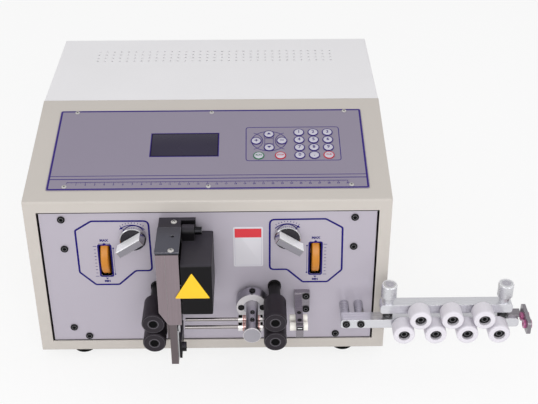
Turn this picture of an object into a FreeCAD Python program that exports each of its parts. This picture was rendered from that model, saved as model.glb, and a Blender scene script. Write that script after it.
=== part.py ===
"""Automatic two-wire cutting and stripping machine, as a bench-top assembly.

Every place is given in the machine's frame: X to the right from the middle of the case,
Y to the back from the front face of the case frame, Z up from the underside of the case.
The finished pieces are shifted together so that the origin is the middle of the bench
area that the machine covers, at the height of the bench.
"""
import FreeCAD, Part
import Sketcher
import math
import os
from types import SimpleNamespace

SIZES = [
    # case
    ("case_width", 390.0), ("case_depth", 344.0), ("case_height", 234.0),
    ("front_height", 200.0), ("lid_front", 169.0), ("sheet", 1.5), ("lid_fold", 14.0),
    ("seam", 0.3), ("frame_side", 13.2), ("frame_top", 13.4), ("frame_bottom", 13.4),
    ("bend_radius", 2.0),
    ("vent_columns", 33), ("vent_rows", 5), ("vent_pitch_x", 9.12), ("vent_pitch_y", 9.3),
    ("vent_size", 2.6), ("vent_rear", 38.0),
    ("foot_height", 11.0), ("foot_radius", 10.0), ("foot_taper", 10.0),
    ("foot_x", 150.0), ("foot_inset", 22.0),
    # front panel and the plate behind it
    ("panel_gap", 1.8), ("panel_y", 2.0), ("panel_thick", 2.0),
    ("plate_thick", 10.0), ("plate_inset", 12.0), ("plate_foot", 26.0), ("plate_foot_thick", 6.0),
    ("panel_screw_x", 156.2), ("panel_screw_low_x", 140.0), ("panel_screw_top_drop", 23.0),
    ("panel_screw_mid_drop", 60.5), ("panel_screw_low_z", 32.0), ("panel_screw_base_z", 19.5),
    ("cap_head", 4.1), ("cap_head_height", 1.3), ("cap_shank", 2.5), ("cap_shank_length", 9.0),
    ("cap_socket", 4.4), ("cap_socket_depth", 0.9), ("fit", 0.05), ("clearance", 0.3),
    # control panel on the slope
    ("overlay_width", 344.5), ("overlay_start", 17.2), ("overlay_length", 134.5),
    ("overlay_thick", 0.8), ("window_x", -27.6), ("window_s", 90.5),
    ("window_width", 74.0), ("window_length", 38.4), ("window_depth", 0.4),
    ("key_radius", 5.5), ("key_height", 0.7), ("key_x", 99.6), ("key_s", 70.7),
    ("key_pitch_x", 16.0), ("key_pitch_s", 13.0),
    ("run_key_x", 54.4), ("stop_key_x", 78.3),
    ("arrow_x", 66.0), ("arrow_s", 96.0), ("arrow_reach_x", 14.3), ("arrow_reach_s", 11.4),
    # feed rollers
    ("right_roller_x", 70.4), ("left_roller_x", -59.0), ("lower_roller_z", 59.6),
    ("upper_roller_z", 85.2), ("roller_radius", 12.3), ("roller_back", -24.6),
    ("roller_front", -62.0), ("roller_chamfer", 1.2), ("roller_recess", 4.6),
    ("roller_recess_depth", 4.0), ("shaft_radius", 6.4), ("stub_radius", 4.0),
    ("shaft_end", 33.0), ("gear_front", 22.0), ("gear_width", 9.0), ("gear_teeth", 17),
    ("gear_module", 1.5), ("gear_backlash", 0.5), ("press_lift", 3.0),
    ("press_block", 24.0), ("press_plate_thick", 5.0), ("press_strap", 10.0),
    # roller lift knobs
    ("right_knob_x", 84.3), ("left_knob_x", -81.0), ("knob_drop", 45.3), ("knob_radius", 14.1),
    ("knob_thick", 7.5), ("knob_bar_height", 15.0), ("knob_bar_width", 8.2),
    ("knob_bar_tail", 17.8), ("knob_bar_nose", 13.2), ("knob_bar_slope", 33.3), ("knob_bar_edge", 0.8),
    ("knob_shaft", 4.0), ("knob_turn", 95.0), ("cam_radius", 7.0), ("cam_gap", 0.5),
    # thumb wheels
    ("right_wheel_x", 115.0), ("left_wheel_x", -113.2), ("wheel_drop", 75.3), ("wheel_y", 18.0),
    ("wheel_radius", 24.0), ("wheel_width", 8.2), ("wheel_shaft", 4.0),
    ("wheel_slot_width", 12.4), ("wheel_slot_height", 42.4), ("lug_thick", 5.0), ("lug_gap", 2.0),
    # feed motors
    ("motor_size", 56.4), ("motor_length", 54.0), ("motor_front", 38.0), ("motor_corner", 5.0),
    ("motor_post_pitch", 47.1), ("motor_post_radius", 4.0), ("motor_shaft", 3.175),
    # blade head
    ("head_left", -52.0), ("head_right", -28.5), ("head_front", -63.0), ("head_wall", 2.5),
    ("head_back_front", -14.0), ("head_base", 85.0), ("head_drop", 23.5), ("head_bevel_x", 9.5),
    ("head_bevel_z", 16.5), ("rail_right", -42.2), ("block_drop", 21.5), ("block_right", -13.5),
    ("block_ear_drop", 38.0), ("cap_thick", 2.0), ("cap_lip", 0.6),
    ("cap_right", -27.6), ("cap_step", -17.0), ("head_screw", 4.0), ("head_screw_height", 1.8),
    ("hinge_y", -11.0), ("hinge_drop", 30.0), ("hinge_radius", 2.5), ("hinge_ear_radius", 7.0),
    ("hinge_seat", 8.0), ("hinge_right", -13.8), ("hinge_knob_radius", 4.2), ("hinge_knob_end", -6.5),
    ("upper_rib_y", -39.0), ("lower_rib_y", -57.4), ("rib_half", 1.2), ("rib_flare", 0.8),
    ("rib_reach", 2.5), ("slide_gap", 0.2),
    ("holder_back", -18.0), ("holder_front", -60.0), ("lower_holder_right", -34.2),
    ("upper_holder_right", -32.5), ("upper_holder_base", 88.0), ("upper_holder_top", 150.0),
    ("lower_holder_base", 29.0), ("lower_holder_shoulder", 64.0), ("lower_holder_top", 130.0),
    ("guide_tongue", 5.0),
    ("blade_thick", 1.5), ("blade_back", -24.0), ("blade_front", -58.0), ("blade_overlap", 2.0),
    ("blade_notch", 6.0), ("blade_notch_half", 5.0), ("blade_height", 36.0),
    ("clamp_thick", 2.6), ("clamp_height", 23.4), ("clamp_screw", 5.2),
    ("clamp_screw_height", 4.6), ("wire_z", 72.4), ("wire_back_y", -38.0), ("wire_pitch", 13.0),
    # guard over the blades
    ("guard_left", -27.3), ("guard_right", 5.0), ("guard_front", -63.8), ("guard_base", 99.8),
    ("guard_drop", 38.5), ("guard_wall", 2.0), ("guard_corner", 1.8),
    # swinging conduit holder
    ("hub_x", 45.5), ("hub_radius", 17.5), ("hub_back", -4.0), ("hub_front", -17.4),
    ("hub_shaft", 6.0), ("hub_split", 1.6), ("post_radius", 9.4), ("post_half", 6.3),
    ("post_front", -66.5), ("post_flat_front", -62.0),
    ("tube_outer", 2.0), ("tube_inner", 1.4), ("tube_left", -26.5), ("tube_right", 58.0),
    ("nut_radius", 4.2), ("nut_left", 30.6), ("nut_right", 57.2),
    ("grub_radius", 2.0),
    # wire inlet block
    ("inlet_left", 92.4), ("inlet_right", 100.4), ("inlet_flange_right", 109.4),
    ("inlet_base", 66.0), ("inlet_top", 80.5), ("inlet_front", -62.0), ("inlet_flange_thick", 7.0),
    ("inlet_flange_base", 56.0), ("inlet_flange_top", 82.0), ("inlet_slot", 5.0),
    ("inlet_slot_depth", 3.0), ("inlet_lip", 1.6), ("liner_outer", 4.8), ("liner_inner", 2.4),
    ("liner_left", 86.0), ("liner_right", 105.4),
    # wire straightener
    ("post_x", 148.3), ("post_pitch", 15.9), ("bar_post_radius", 5.4), ("bar_back", -21.0),
    ("bar_front", -35.0), ("bar_height", 11.0), ("lower_bar_z", 61.5), ("upper_bar_z", 80.9),
    ("lower_bar_left", 142.4), ("lower_bar_right", 337.0), ("upper_bar_left", 184.8),
    ("upper_bar_right", 328.2), ("bar_corner", 3.0),
    ("idler_x", 209.3), ("idler_pitch", 34.2), ("upper_idler_x", 225.9),
    ("idler_radius", 11.7), ("idler_back", -36.8),
    ("idler_front", -56.0), ("idler_soft", 1.8), ("idler_recess", 6.2), ("idler_recess_depth", 9.5),
    ("axle_radius", 3.0), ("axle_collar", 5.0), ("axle_head", 5.4), ("axle_head_height", 3.0),
    ("axle_depth", 9.0), ("axle_socket", 5.0),
    ("thumb_left_x", 193.7), ("thumb_right_x", 319.4), ("thumb_y", -28.5), ("thumb_radius", 8.4),
    ("thumb_height", 17.0), ("thumb_collar", 5.5), ("thumb_collar_height", 7.0),
    ("thumb_stud", 3.0), ("spring_radius", 5.6), ("spring_wire", 1.0),
    ("guide_left", 339.3), ("guide_thick", 4.0), ("guide_back", -26.0), ("guide_front", -61.5),
    ("guide_base", 65.5), ("guide_top", 81.5), ("guide_foot", 14.0), ("guide_foot_thick", 3.0),
    ("guide_foot_front", -32.8),
    ("eyelet_outer", 3.6), ("eyelet_flange", 4.8), ("eyelet_bore", 2.3), ("eyelet_lip", 2.4),
    # back of the case
    ("inlet_socket_x", -140.0), ("inlet_socket_z", 60.0), ("inlet_socket_width", 47.0),
    ("inlet_socket_height", 28.0), ("inlet_socket_depth", 22.0), ("plug_width", 24.6),
    ("plug_height", 16.6), ("plug_depth", 16.0), ("plug_pin_width", 2.0), ("plug_pin_height", 4.0),
    ("switch_x", -140.0), ("switch_z", 100.0), ("switch_width", 21.0), ("switch_height", 28.0),
    ("switch_rim", 2.0), ("switch_wall", 2.7), ("rocker_pivot", 1.5),
    ("rocker_reach", 4.0), ("rocker_sunk", 0.9), ("rocker_middle", 1.4), ("rocker_depth", 7.0),
    ("louvre_width", 60.0), ("louvre_height", 3.0), ("louvre_pitch", 8.0), ("louvre_count", 8),
    ("louvre_x", 90.0), ("louvre_z", 60.0),
]


class Size:
    """A number together with the sheet formula that it is worked out from."""

    def __init__(self, value, text):
        self.value = float(value)
        self.text = text

    def _with(self, sign, other, value, swapped=False):
        words = (formula(other), sign, self.text) if swapped else (self.text, sign, formula(other))
        return Size(value, "(%s %s %s)" % words)

    def __add__(self, other):
        return self._with("+", other, self.value + number(other))

    def __radd__(self, other):
        return self._with("+", other, number(other) + self.value, True)

    def __sub__(self, other):
        return self._with("-", other, self.value - number(other))

    def __rsub__(self, other):
        return self._with("-", other, number(other) - self.value, True)

    def __mul__(self, other):
        return self._with("*", other, self.value * number(other))

    def __rmul__(self, other):
        return self._with("*", other, number(other) * self.value, True)

    def __truediv__(self, other):
        return self._with("/", other, self.value / number(other))

    def __neg__(self):
        return Size(-self.value, "(0 - %s)" % self.text)


def number(size):
    return size.value if isinstance(size, Size) else float(size)


def formula(size):
    return size.text if isinstance(size, Size) else "(%s)" % format(float(size), ".10g")


doc = FreeCAD.newDocument("wire_stripper")


def make_sheet():
    sheet = doc.addObject("Spreadsheet::Sheet", "Sizes")
    for row, (name, value) in enumerate(SIZES, start=1):
        sheet.set("A%d" % row, name)
        sheet.set("B%d" % row, format(value, ".10g"))
        sheet.setAlias("B%d" % row, name)
    doc.recompute()
    return SimpleNamespace(**{name: Size(value, "Sizes." + name) for name, value in SIZES})


S = make_sheet()

# ------------------------------------------------------------------ derived places
panel_screw_top_z = S.front_height - S.panel_screw_top_drop
panel_screw_mid_z = S.front_height - S.panel_screw_mid_drop
knob_z = S.front_height - S.knob_drop
wheel_z = S.front_height - S.wheel_drop
head_top = S.front_height - S.head_drop
block_top = S.front_height - S.block_drop
block_ear_base = S.front_height - S.block_ear_drop
hinge_z = S.front_height - S.hinge_drop
guard_top = S.front_height - S.guard_drop
panel_back = S.panel_y + S.panel_thick
plate_back = panel_back + S.plate_thick
wire_ys = (S.wire_back_y, S.wire_back_y - S.wire_pitch)
eyelet_end = S.guide_left + S.guide_thick + S.eyelet_lip
slope = (S.case_height - S.front_height) / S.lid_front
slope_stretch = Size(math.sqrt(1 + slope.value ** 2), "sqrt(1 + %s * %s)" % (slope.text, slope.text))
slope_angle = Size(math.degrees(math.atan(slope.value)), "atan(%s)" % slope.text)
rear_end = S.case_depth + S.rocker_reach
ORIGIN = ((eyelet_end - S.case_width / 2) / 2, (rear_end + S.post_front) / 2, -S.foot_height)

NODES = []


# ------------------------------------------------------------------ building tools
def bind(thing, path, size):
    """Tie one property to its formula, or set it where it is a plain number."""
    if isinstance(size, Size):
        thing.setExpression(path, size.text)
    else:
        setattr(thing, path, size)


def place(thing, at=(0.0, 0.0, 0.0), turn=None):
    """Put a piece, whose own frame starts at the given machine place, into the part's frame."""
    if turn:
        rotation = FreeCAD.Rotation(FreeCAD.Vector(*turn[0]), turn[1])
        thing.Placement = FreeCAD.Placement(FreeCAD.Vector(), rotation)
    for letter, own, start in zip("xyz", at, ORIGIN):
        thing.setExpression("Placement.Base." + letter, (own - start).text)


def node(thing, name):
    thing.Label = name
    NODES.append(thing)
    return thing


def new_body(name, at=(0.0, 0.0, 0.0), turn=None):
    body = doc.addObject("PartDesign::Body", name + "_body")
    body.AllowCompound = True
    place(body, at, turn)
    return node(body, name)


def sketch_on(body, plane, height):
    """A sketch parallel to an origin plane; height is the machine coordinate that it lies at."""
    sketch = body.newObject("Sketcher::SketchObject", body.Name + "_sketch")
    role = plane + "_Plane"
    support = [item for item in body.Origin.OriginFeatures if item.Role == role][0]
    sketch.AttachmentSupport = [(support, "")]
    sketch.MapMode = "FlatFace"
    offset = -height if plane == "XZ" else height
    if isinstance(offset, Size):
        sketch.setExpression("AttachmentOffset.Base.z", offset.text)
    else:
        sketch.AttachmentOffset = FreeCAD.Placement(FreeCAD.Vector(0, 0, offset), FreeCAD.Rotation())
    return sketch


def pin(sketch, item, point, spot):
    for kind, size in zip(("DistanceX", "DistanceY"), spot):
        index = sketch.addConstraint(Sketcher.Constraint(kind, -1, 1, item, point, number(size)))
        if isinstance(size, Size):
            sketch.setExpression("Constraints[%d]" % index, size.text)


def polygon(sketch, spots):
    first = sketch.GeometryCount
    corners = [FreeCAD.Vector(number(x), number(y), 0) for x, y in spots]
    count = len(corners)
    for index, corner in enumerate(corners):
        sketch.addGeometry(Part.LineSegment(corner, corners[(index + 1) % count]), False)
    for index in range(count):
        following = first + (index + 1) % count
        sketch.addConstraint(Sketcher.Constraint("Coincident", first + index, 2, following, 1))
    for index, spot in enumerate(spots):
        pin(sketch, first + index, 1, spot)


def circle(sketch, spot, radius):
    centre = FreeCAD.Vector(number(spot[0]), number(spot[1]), 0)
    item = sketch.addGeometry(Part.Circle(centre, FreeCAD.Vector(0, 0, 1), number(radius)), False)
    index = sketch.addConstraint(Sketcher.Constraint("Radius", item, number(radius)))
    if isinstance(radius, Size):
        sketch.setExpression("Constraints[%d]" % index, radius.text)
    pin(sketch, item, 3, spot)


def rectangle(left, low, right, high):
    return [(left, low), (right, low), (right, high), (left, high)]


def hexagon(spot, across):
    corner = across / math.sqrt(3)
    angles = [math.radians(60 * index) for index in range(6)]
    return [(spot[0] + corner * math.cos(a), spot[1] + corner * math.sin(a)) for a in angles]


def draw(sketch, shapes):
    """Draw polygons, given as lists of corners, and circles, given as (centre, radius)."""
    for shape in shapes:
        if isinstance(shape, list):
            polygon(sketch, shape)
        else:
            circle(sketch, *shape)


def pad(body, plane, low, high, *shapes):
    sketch = sketch_on(body, plane, high if plane == "XZ" else low)
    draw(sketch, shapes)
    feature = body.newObject("PartDesign::Pad", body.Name + "_pad")
    feature.Profile = sketch
    bind(feature, "Length", high - low)
    return feature


def pocket(body, plane, low, high, *shapes):
    sketch = sketch_on(body, plane, low if plane == "XZ" else high)
    draw(sketch, shapes)
    feature = body.newObject("PartDesign::Pocket", body.Name + "_pocket")
    feature.Profile = sketch
    bind(feature, "Length", high - low)
    return feature


def turn_profile(body, axis, outline, groove=False):
    """Turn an outline of (radius, along) corners about the body's own X, Y or Z axis."""
    plane = "XZ" if axis == "Z" else "XY"
    sketch = sketch_on(body, plane, 0.0)
    corners = [(along, radius) if axis == "X" else (radius, along) for radius, along in outline]
    polygon(sketch, corners)
    kind = "Groove" if groove else "Revolution"
    feature = body.newObject("PartDesign::" + kind, body.Name + "_turned")
    feature.Profile = sketch
    feature.ReferenceAxis = (sketch, ["H_Axis" if axis == "X" else "V_Axis"])
    feature.Angle = 360.0
    return feature


def turned(name, axis, at, outline):
    body = new_body(name, at)
    turn_profile(body, axis, outline)
    return body


def own_axis(body, letter):
    line = [item for item in body.Origin.OriginFeatures if item.Role == letter + "_Axis"][0]
    return (line, [""])


def repeat(body, feature, steps):
    """Repeat a feature along one or two axes; steps are (axis, pitch, count, reversed)."""
    pattern = body.newObject("PartDesign::LinearPattern", body.Name + "_rows")
    pattern.Originals = [feature]
    for tail, (letter, pitch, count, back) in zip(("", "2"), steps):
        setattr(pattern, "Direction" + tail, own_axis(body, letter))
        setattr(pattern, "Mode" + tail, "Spacing")
        setattr(pattern, "Reversed" + tail, back)
        pattern.setExpression("Offset" + tail, pitch.text)
        pattern.setExpression("Occurrences" + tail, count.text)
    body.Tip = pattern
    return pattern


def around(body, feature, letter, count):
    pattern = body.newObject("PartDesign::PolarPattern", body.Name + "_ring")
    pattern.Originals = [feature]
    pattern.Axis = own_axis(body, letter)
    pattern.Angle = 360.0
    pattern.setExpression("Occurrences", count.text)
    body.Tip = pattern
    return pattern


def ease(body, radius, choose, bevel=False):
    """Round or bevel the straight edges that the test picks by their middle and direction."""
    doc.recompute()
    base = body.Tip
    inverse = body.Placement.inverse()
    names = []
    for index, edge in enumerate(base.Shape.Edges, start=1):
        middle = edge.valueAt((edge.FirstParameter + edge.LastParameter) / 2)
        ends = edge.Vertexes[-1].Point - edge.Vertexes[0].Point
        if edge.Curve.TypeId == "Part::GeomLine" and choose(middle, ends):
            names.append("Edge%d" % index)
    kind = "Chamfer" if bevel else "Fillet"
    feature = body.newObject("PartDesign::" + kind, body.Name + "_ease")
    feature.Base = (base, names)
    bind(feature, "Size" if bevel else "Radius", radius)
    return feature


def near(value, size, room=0.01):
    return abs(value - number(size)) < room


def along(ends, letter):
    return abs(getattr(ends, letter)) > 0.999 * ends.Length


def span(start, reach):
    """Lower and upper end of a stretch that runs from start by a signed reach."""
    return (start, start + reach) if number(reach) > 0 else (start + reach, start)


# ------------------------------------------------------------------ case
opening_half = S.case_width / 2 - S.frame_side
opening_top = S.front_height - S.frame_top
panel_half = opening_half - S.panel_gap
panel_base = S.frame_bottom + S.clearance
panel_top = opening_top - S.panel_gap
shell_top = S.case_height - S.lid_fold


def case_shell():
    body = new_body("case_shell")
    half = S.case_width / 2
    drop = S.sheet * slope_stretch
    back = S.case_depth
    outer = [(0.0, 0.0), (back, 0.0), (back, shell_top), (S.lid_front, shell_top),
             (S.lid_front, S.case_height), (0.0, S.front_height)]
    pad(body, "YZ", -half, half, outer)
    ease(body, S.bend_radius, lambda middle, ends: along(ends, "x") and near(middle.y, 0.0))
    inner_start = S.front_height + slope * S.sheet - drop
    beyond = back + S.sheet
    inner = [(S.sheet, S.sheet), (beyond, S.sheet), (beyond, S.case_height + S.sheet),
             (S.lid_front, S.case_height + S.sheet), (S.lid_front, S.case_height - drop),
             (S.sheet, inner_start)]
    pocket(body, "YZ", S.sheet - half, half - S.sheet, inner)
    window = rectangle(-opening_half, S.frame_bottom, opening_half, opening_top)
    pocket(body, "XZ", -S.sheet, S.sheet * 2, window)
    return body


def case_lid():
    body = new_body("case_lid")
    half = S.case_width / 2
    front = S.lid_front + S.seam
    top = S.case_height
    base = shell_top + S.seam
    pad(body, "XY", base, top, rectangle(-half, front, half, S.case_depth))
    ease(body, S.bend_radius, lambda middle, ends: near(middle.z, top) and not near(middle.y, front))
    inner = rectangle(S.sheet - half, front + S.sheet, half - S.sheet, S.case_depth - S.sheet)
    pocket(body, "XY", base, top - S.sheet, inner)
    return body


def lid_vents(body):
    start_x = -S.vent_pitch_x * (S.vent_columns - 1) / 2
    start_y = S.case_depth - S.vent_rear
    hole = hexagon((start_x, start_y), S.vent_size)
    cut = pocket(body, "XY", S.case_height - S.sheet * 2, S.case_height, hole)
    across = ("X", S.vent_pitch_x, S.vent_columns, False)
    repeat(body, cut, [across, ("Y", S.vent_pitch_y, S.vent_rows, True)])


rear_openings = ((S.inlet_socket_x, S.inlet_socket_z, S.inlet_socket_width, S.inlet_socket_height),
                 (S.switch_x, S.switch_z, S.switch_width, S.switch_height))


def back_panel():
    body = new_body("back_panel")
    half = S.case_width / 2 - S.sheet - S.seam
    back = S.case_depth
    pad(body, "XZ", back - S.sheet, back, rectangle(-half, S.sheet + S.seam, half, shell_top - S.seam))
    openings = [rectangle(*box_around(*opening)) for opening in rear_openings]
    pocket(body, "XZ", back - S.sheet * 2, back + S.sheet, *openings)
    slot = rectangle(*box_around(S.louvre_x, S.louvre_z, S.louvre_width, S.louvre_height))
    cut = pocket(body, "XZ", back - S.sheet * 2, back + S.sheet, slot)
    repeat(body, cut, [("Z", S.louvre_pitch, S.louvre_count, False)])
    return body


def box_around(x, z, width, height):
    return x - width / 2, z - height / 2, x + width / 2, z + height / 2


def rubber_feet():
    body = new_body("rubber_feet")
    near_y = S.foot_inset
    far_y = S.case_depth - S.foot_inset
    spots = [(x, y) for x in (-S.foot_x, S.foot_x) for y in (near_y, far_y)]
    feature = pad(body, "XY", -S.foot_height, 0.0 * S.foot_height, *[(spot, S.foot_radius) for spot in spots])
    bind(feature, "TaperAngle", S.foot_taper)
    return body


# ------------------------------------------------------------------ front panel and plate
def side_values():
    """Roller, knob and wheel places, with the sign that mirrors the left side."""
    left = SimpleNamespace(name="left", sign=-1, roller=S.left_roller_x)
    left.knob, left.wheel = S.left_knob_x, S.left_wheel_x
    right = SimpleNamespace(name="right", sign=1, roller=S.right_roller_x)
    right.knob, right.wheel = S.right_knob_x, S.right_wheel_x
    return left, right


SIDES = side_values()
panel_screws = [(sign * x, z) for sign in (-1, 1) for x, z in (
    (S.panel_screw_x, panel_screw_top_z), (S.panel_screw_x, panel_screw_mid_z),
    (S.panel_screw_x, S.panel_screw_low_z), (S.panel_screw_low_x, S.panel_screw_base_z))]
inlet_screws = [(S.inlet_flange_right - S.cap_head, S.inlet_flange_top - S.cap_head),
                (S.inlet_flange_right - S.cap_head, S.inlet_flange_base + S.cap_head)]
bar_screws = [(S.post_x + S.post_pitch * index, S.lower_bar_z) for index in range(2)]
face_screws = panel_screws + inlet_screws + bar_screws


def cut_shaft_slots(body, low, high, radius):
    """Slots with round ends that let each upper shaft rise."""
    base, top = S.upper_roller_z, S.upper_roller_z + S.press_lift
    for z in (base, top):
        pocket(body, "XZ", low, high, *[((side.roller, z), radius) for side in SIDES])
    straight = [rectangle(side.roller - radius, base, side.roller + radius, top) for side in SIDES]
    pocket(body, "XZ", low, high, *straight)


def front_panel():
    body = new_body("front_panel")
    low, high = S.panel_y, panel_back
    pad(body, "XZ", low, high, rectangle(-panel_half, panel_base, panel_half, panel_top))
    room = S.shaft_radius + S.clearance * 3
    holes = [((S.hub_x, S.wire_z), S.hub_shaft + S.clearance)]
    for side in SIDES:
        holes += [((side.roller, S.lower_roller_z), room)]
        holes += [((side.knob, knob_z), S.knob_shaft + S.clearance)]
        holes += [rectangle(*box_around(side.wheel, wheel_z, S.wheel_slot_width, S.wheel_slot_height))]
    holes += [(spot, S.cap_shank + S.fit) for spot in face_screws]
    pocket(body, "XZ", low - S.sheet, high + S.sheet, *holes)
    cut_shaft_slots(body, low - S.sheet, high + S.sheet, room)
    ease(body, S.bend_radius, lambda middle, ends: along(ends, "y") and near(abs(middle.z - wheel_z.value),
         S.wheel_slot_height / 2))
    return body


def mount_plate():
    """Thick plate that carries the shafts; its foot stands on the case floor."""
    body = new_body("mount_plate")
    low, high = panel_back, plate_back
    half = panel_half - S.plate_inset
    floor = S.sheet
    pad(body, "XZ", low, high, rectangle(-half, floor, half, panel_top - S.clearance))
    pad(body, "XY", floor, floor + S.plate_foot_thick, rectangle(-half, high, half, high + S.plate_foot))
    lug_x = S.wheel_width / 2 + S.lug_gap
    lug_half = S.wheel_shaft + S.lug_thick
    lug = rectangle(high, wheel_z - lug_half, S.wheel_y + lug_half, wheel_z + lug_half)
    for side in SIDES:
        for sign in (-1, 1):
            left, right = span(side.wheel + lug_x * sign, S.lug_thick * sign)
            pad(body, "YZ", left, right, lug)
    holes = [((S.hub_x, S.wire_z), S.hub_shaft + S.fit)]
    for side in SIDES:
        holes += [((side.roller, S.lower_roller_z), S.shaft_radius + S.fit), press_window(side)]
        holes += [((side.knob, knob_z), S.knob_shaft + S.fit), wheel_window(side)]
    holes += [(spot, S.cap_shank + S.fit) for spot in face_screws]
    pocket(body, "XZ", low - S.sheet, high + S.sheet, *holes)
    for side in SIDES:
        left = side.wheel - lug_x - S.lug_thick * 2
        right = side.wheel + lug_x + S.lug_thick * 2
        pocket(body, "YZ", left, right, ((S.wheel_y, wheel_z), S.wheel_shaft + S.fit))
    return body


def press_window(side):
    half = S.press_block / 2 + S.clearance
    middle = S.upper_roller_z
    return rectangle(side.roller - half, middle - half, side.roller + half, middle + half + S.press_lift)


def wheel_window(side):
    half = S.wheel_width / 2 + S.lug_gap
    reach = S.wheel_radius + S.clearance * 2
    return rectangle(side.wheel - half, wheel_z - reach, side.wheel + half, wheel_z + reach)


def socket_screws():
    """Black socket screws of the front panel, the inlet flange and the straightener's bar."""
    body = new_body("socket_screws")
    bar_shank = S.panel_y - S.bar_front + S.cap_shank_length
    groups = ((S.panel_y, panel_screws, S.cap_shank_length),
              (S.panel_y - S.inlet_flange_thick, inlet_screws, S.inlet_flange_thick + S.cap_shank_length),
              (S.bar_front, bar_screws, bar_shank))
    for face, places, reach in groups:
        pad(body, "XZ", face - S.cap_head_height, face, *[(spot, S.cap_head) for spot in places])
        pad(body, "XZ", face, face + reach, *[(spot, S.cap_shank) for spot in places])
        top = face - S.cap_head_height
        pocket(body, "XZ", top, top + S.cap_socket_depth, *[hexagon(spot, S.cap_socket) for spot in places])
    return body


# ------------------------------------------------------------------ control panel on the slope
def slope_body(name):
    body = new_body(name, (0.0, 0.0, S.front_height), ((1, 0, 0), slope_angle.value))
    body.setExpression("Placement.Rotation.Angle", slope_angle.text)
    return body


def key_spots():
    columns = [S.key_x + S.key_pitch_x * index for index in range(3)]
    rows = [S.key_s + S.key_pitch_s * index for index in range(4)]
    numbers = [(x, s) for x in columns for s in rows]
    arrows = [(S.arrow_x - S.arrow_reach_x, S.arrow_s), (S.arrow_x + S.arrow_reach_x, S.arrow_s),
              (S.arrow_x, S.arrow_s - S.arrow_reach_s), (S.arrow_x, S.arrow_s + S.arrow_reach_s)]
    return numbers + arrows + [(S.run_key_x, S.key_s), (S.stop_key_x, S.key_s)]


def console_overlay():
    """Membrane sheet with raised keys and a sunk display window."""
    body = slope_body("console_overlay")
    half = S.overlay_width / 2
    low, high = S.overlay_start, S.overlay_start + S.overlay_length
    top = S.overlay_thick
    pad(body, "XY", 0.0 * top, top, rectangle(-half, low, half, high))
    ease(body, S.bend_radius, lambda middle, ends: near(middle.z, top / 2))
    window = rectangle(*box_around(S.window_x, S.window_s, S.window_width, S.window_length))
    pocket(body, "XY", top - S.window_depth, top, window)
    pad(body, "XY", top, top + S.key_height, *[(spot, S.key_radius) for spot in key_spots()])
    return body


# ------------------------------------------------------------------ feed rollers
def feed_roller(side, level, z):
    name = "%s_roller_%s" % (level, side.name)
    inner = S.stub_radius + S.fit / 2
    back, front = S.roller_back, S.roller_front
    edge = S.roller_chamfer
    floor = front + S.roller_recess_depth
    outline = [(inner, back), (S.roller_radius - edge, back), (S.roller_radius, back - edge),
               (S.roller_radius, front + edge), (S.roller_radius - edge, front),
               (S.roller_recess, front), (S.roller_recess, floor), (inner, floor)]
    return turned(name, "Y", (side.roller, 0.0, z), outline)


def gear_tooth(radius):
    """One tooth, a little thinner than half the pitch, standing on the root circle."""
    root = radius - S.gear_module * 1.25
    tip = radius + S.gear_module
    middle = S.gear_module * (math.pi / 4) - S.gear_backlash / 2
    foot = middle * 1.45
    end = middle * 0.45
    sunk = root - S.gear_module / 2
    return [(sunk, -foot), (root, -foot), (radius, -middle), (tip, -end), (tip, end), (radius, middle),
            (root, foot), (sunk, foot)]


def feed_shaft(side, level, z, to_motor):
    """Stepped shaft with its gear: full size through the plate, a stub through the roller."""
    body = new_body("%s_shaft_%s" % (level, side.name), (side.roller, 0.0, z))
    axis = 0.0 * S.shaft_radius
    stub_end = S.roller_front + S.roller_recess_depth
    head_end = S.roller_front + S.clearance
    head = S.roller_recess - S.clearance
    outline = [(axis, head_end), (head, head_end), (head, stub_end), (S.stub_radius, stub_end),
               (S.stub_radius, S.roller_back), (S.shaft_radius, S.roller_back),
               (S.shaft_radius, S.shaft_end), (axis, S.shaft_end)]
    if to_motor:
        reach = S.motor_front + S.motor_length / 3
        outline[-1:] = [(S.motor_shaft, S.shaft_end), (S.motor_shaft, reach), (axis, reach)]
    turn_profile(body, "Y", outline)
    radius = S.gear_module * S.gear_teeth / 2
    low, high = S.gear_front, S.gear_front + S.gear_width
    pad(body, "XZ", low, high, ((axis, axis), radius - S.gear_module * 1.25))
    tooth = pad(body, "XZ", low, high, turn_corners(gear_tooth(radius), tooth_start(level)))
    around(body, tooth, "Y", S.gear_teeth)
    socket = [hexagon((axis, axis), head)]
    pocket(body, "XZ", head_end, head_end + S.roller_recess_depth / 2, *socket)
    return body


def tooth_start(level):
    """Angle of the first tooth: a tooth of the lower gear points up, a gap of the upper one down."""
    half_pitch = 180.0 / number(S.gear_teeth)
    return 90.0 if level == "lower" else 270.0 + half_pitch


def turn_corners(corners, degrees):
    c = math.cos(math.radians(degrees))
    s = math.sin(math.radians(degrees))
    return [(x * c - y * s, x * s + y * c) for x, y in corners]


def press_slide(side):
    """Block that carries the upper shaft, with the strap that the knob's cam lifts."""
    body = new_body("press_slide_" + side.name)
    half = S.press_block / 2
    x, z = side.roller, S.upper_roller_z
    back = plate_back + S.clearance
    sign = side.sign
    pad(body, "XZ", panel_back + S.clearance, back, rectangle(x - half, z - half, x + half, z + half))
    inner = x - half * sign
    outer = inner + S.press_strap * sign
    lug_base = knob_z + S.cam_radius + S.cam_gap
    lug_end = side.knob + S.cam_radius * sign
    strap = [(inner, z - half), (x + half * sign, z - half), (x + half * sign, z + half), (outer, z + half),
             (outer, lug_base), (lug_end, lug_base), (lug_end, lug_base + S.press_strap),
             (inner, lug_base + S.press_strap)]
    pad(body, "XZ", back, back + S.press_plate_thick, strap)
    bore = ((x, z), S.shaft_radius + S.fit)
    pocket(body, "XZ", panel_back - S.sheet, back + S.press_plate_thick + S.sheet, bore)
    return body


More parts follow.
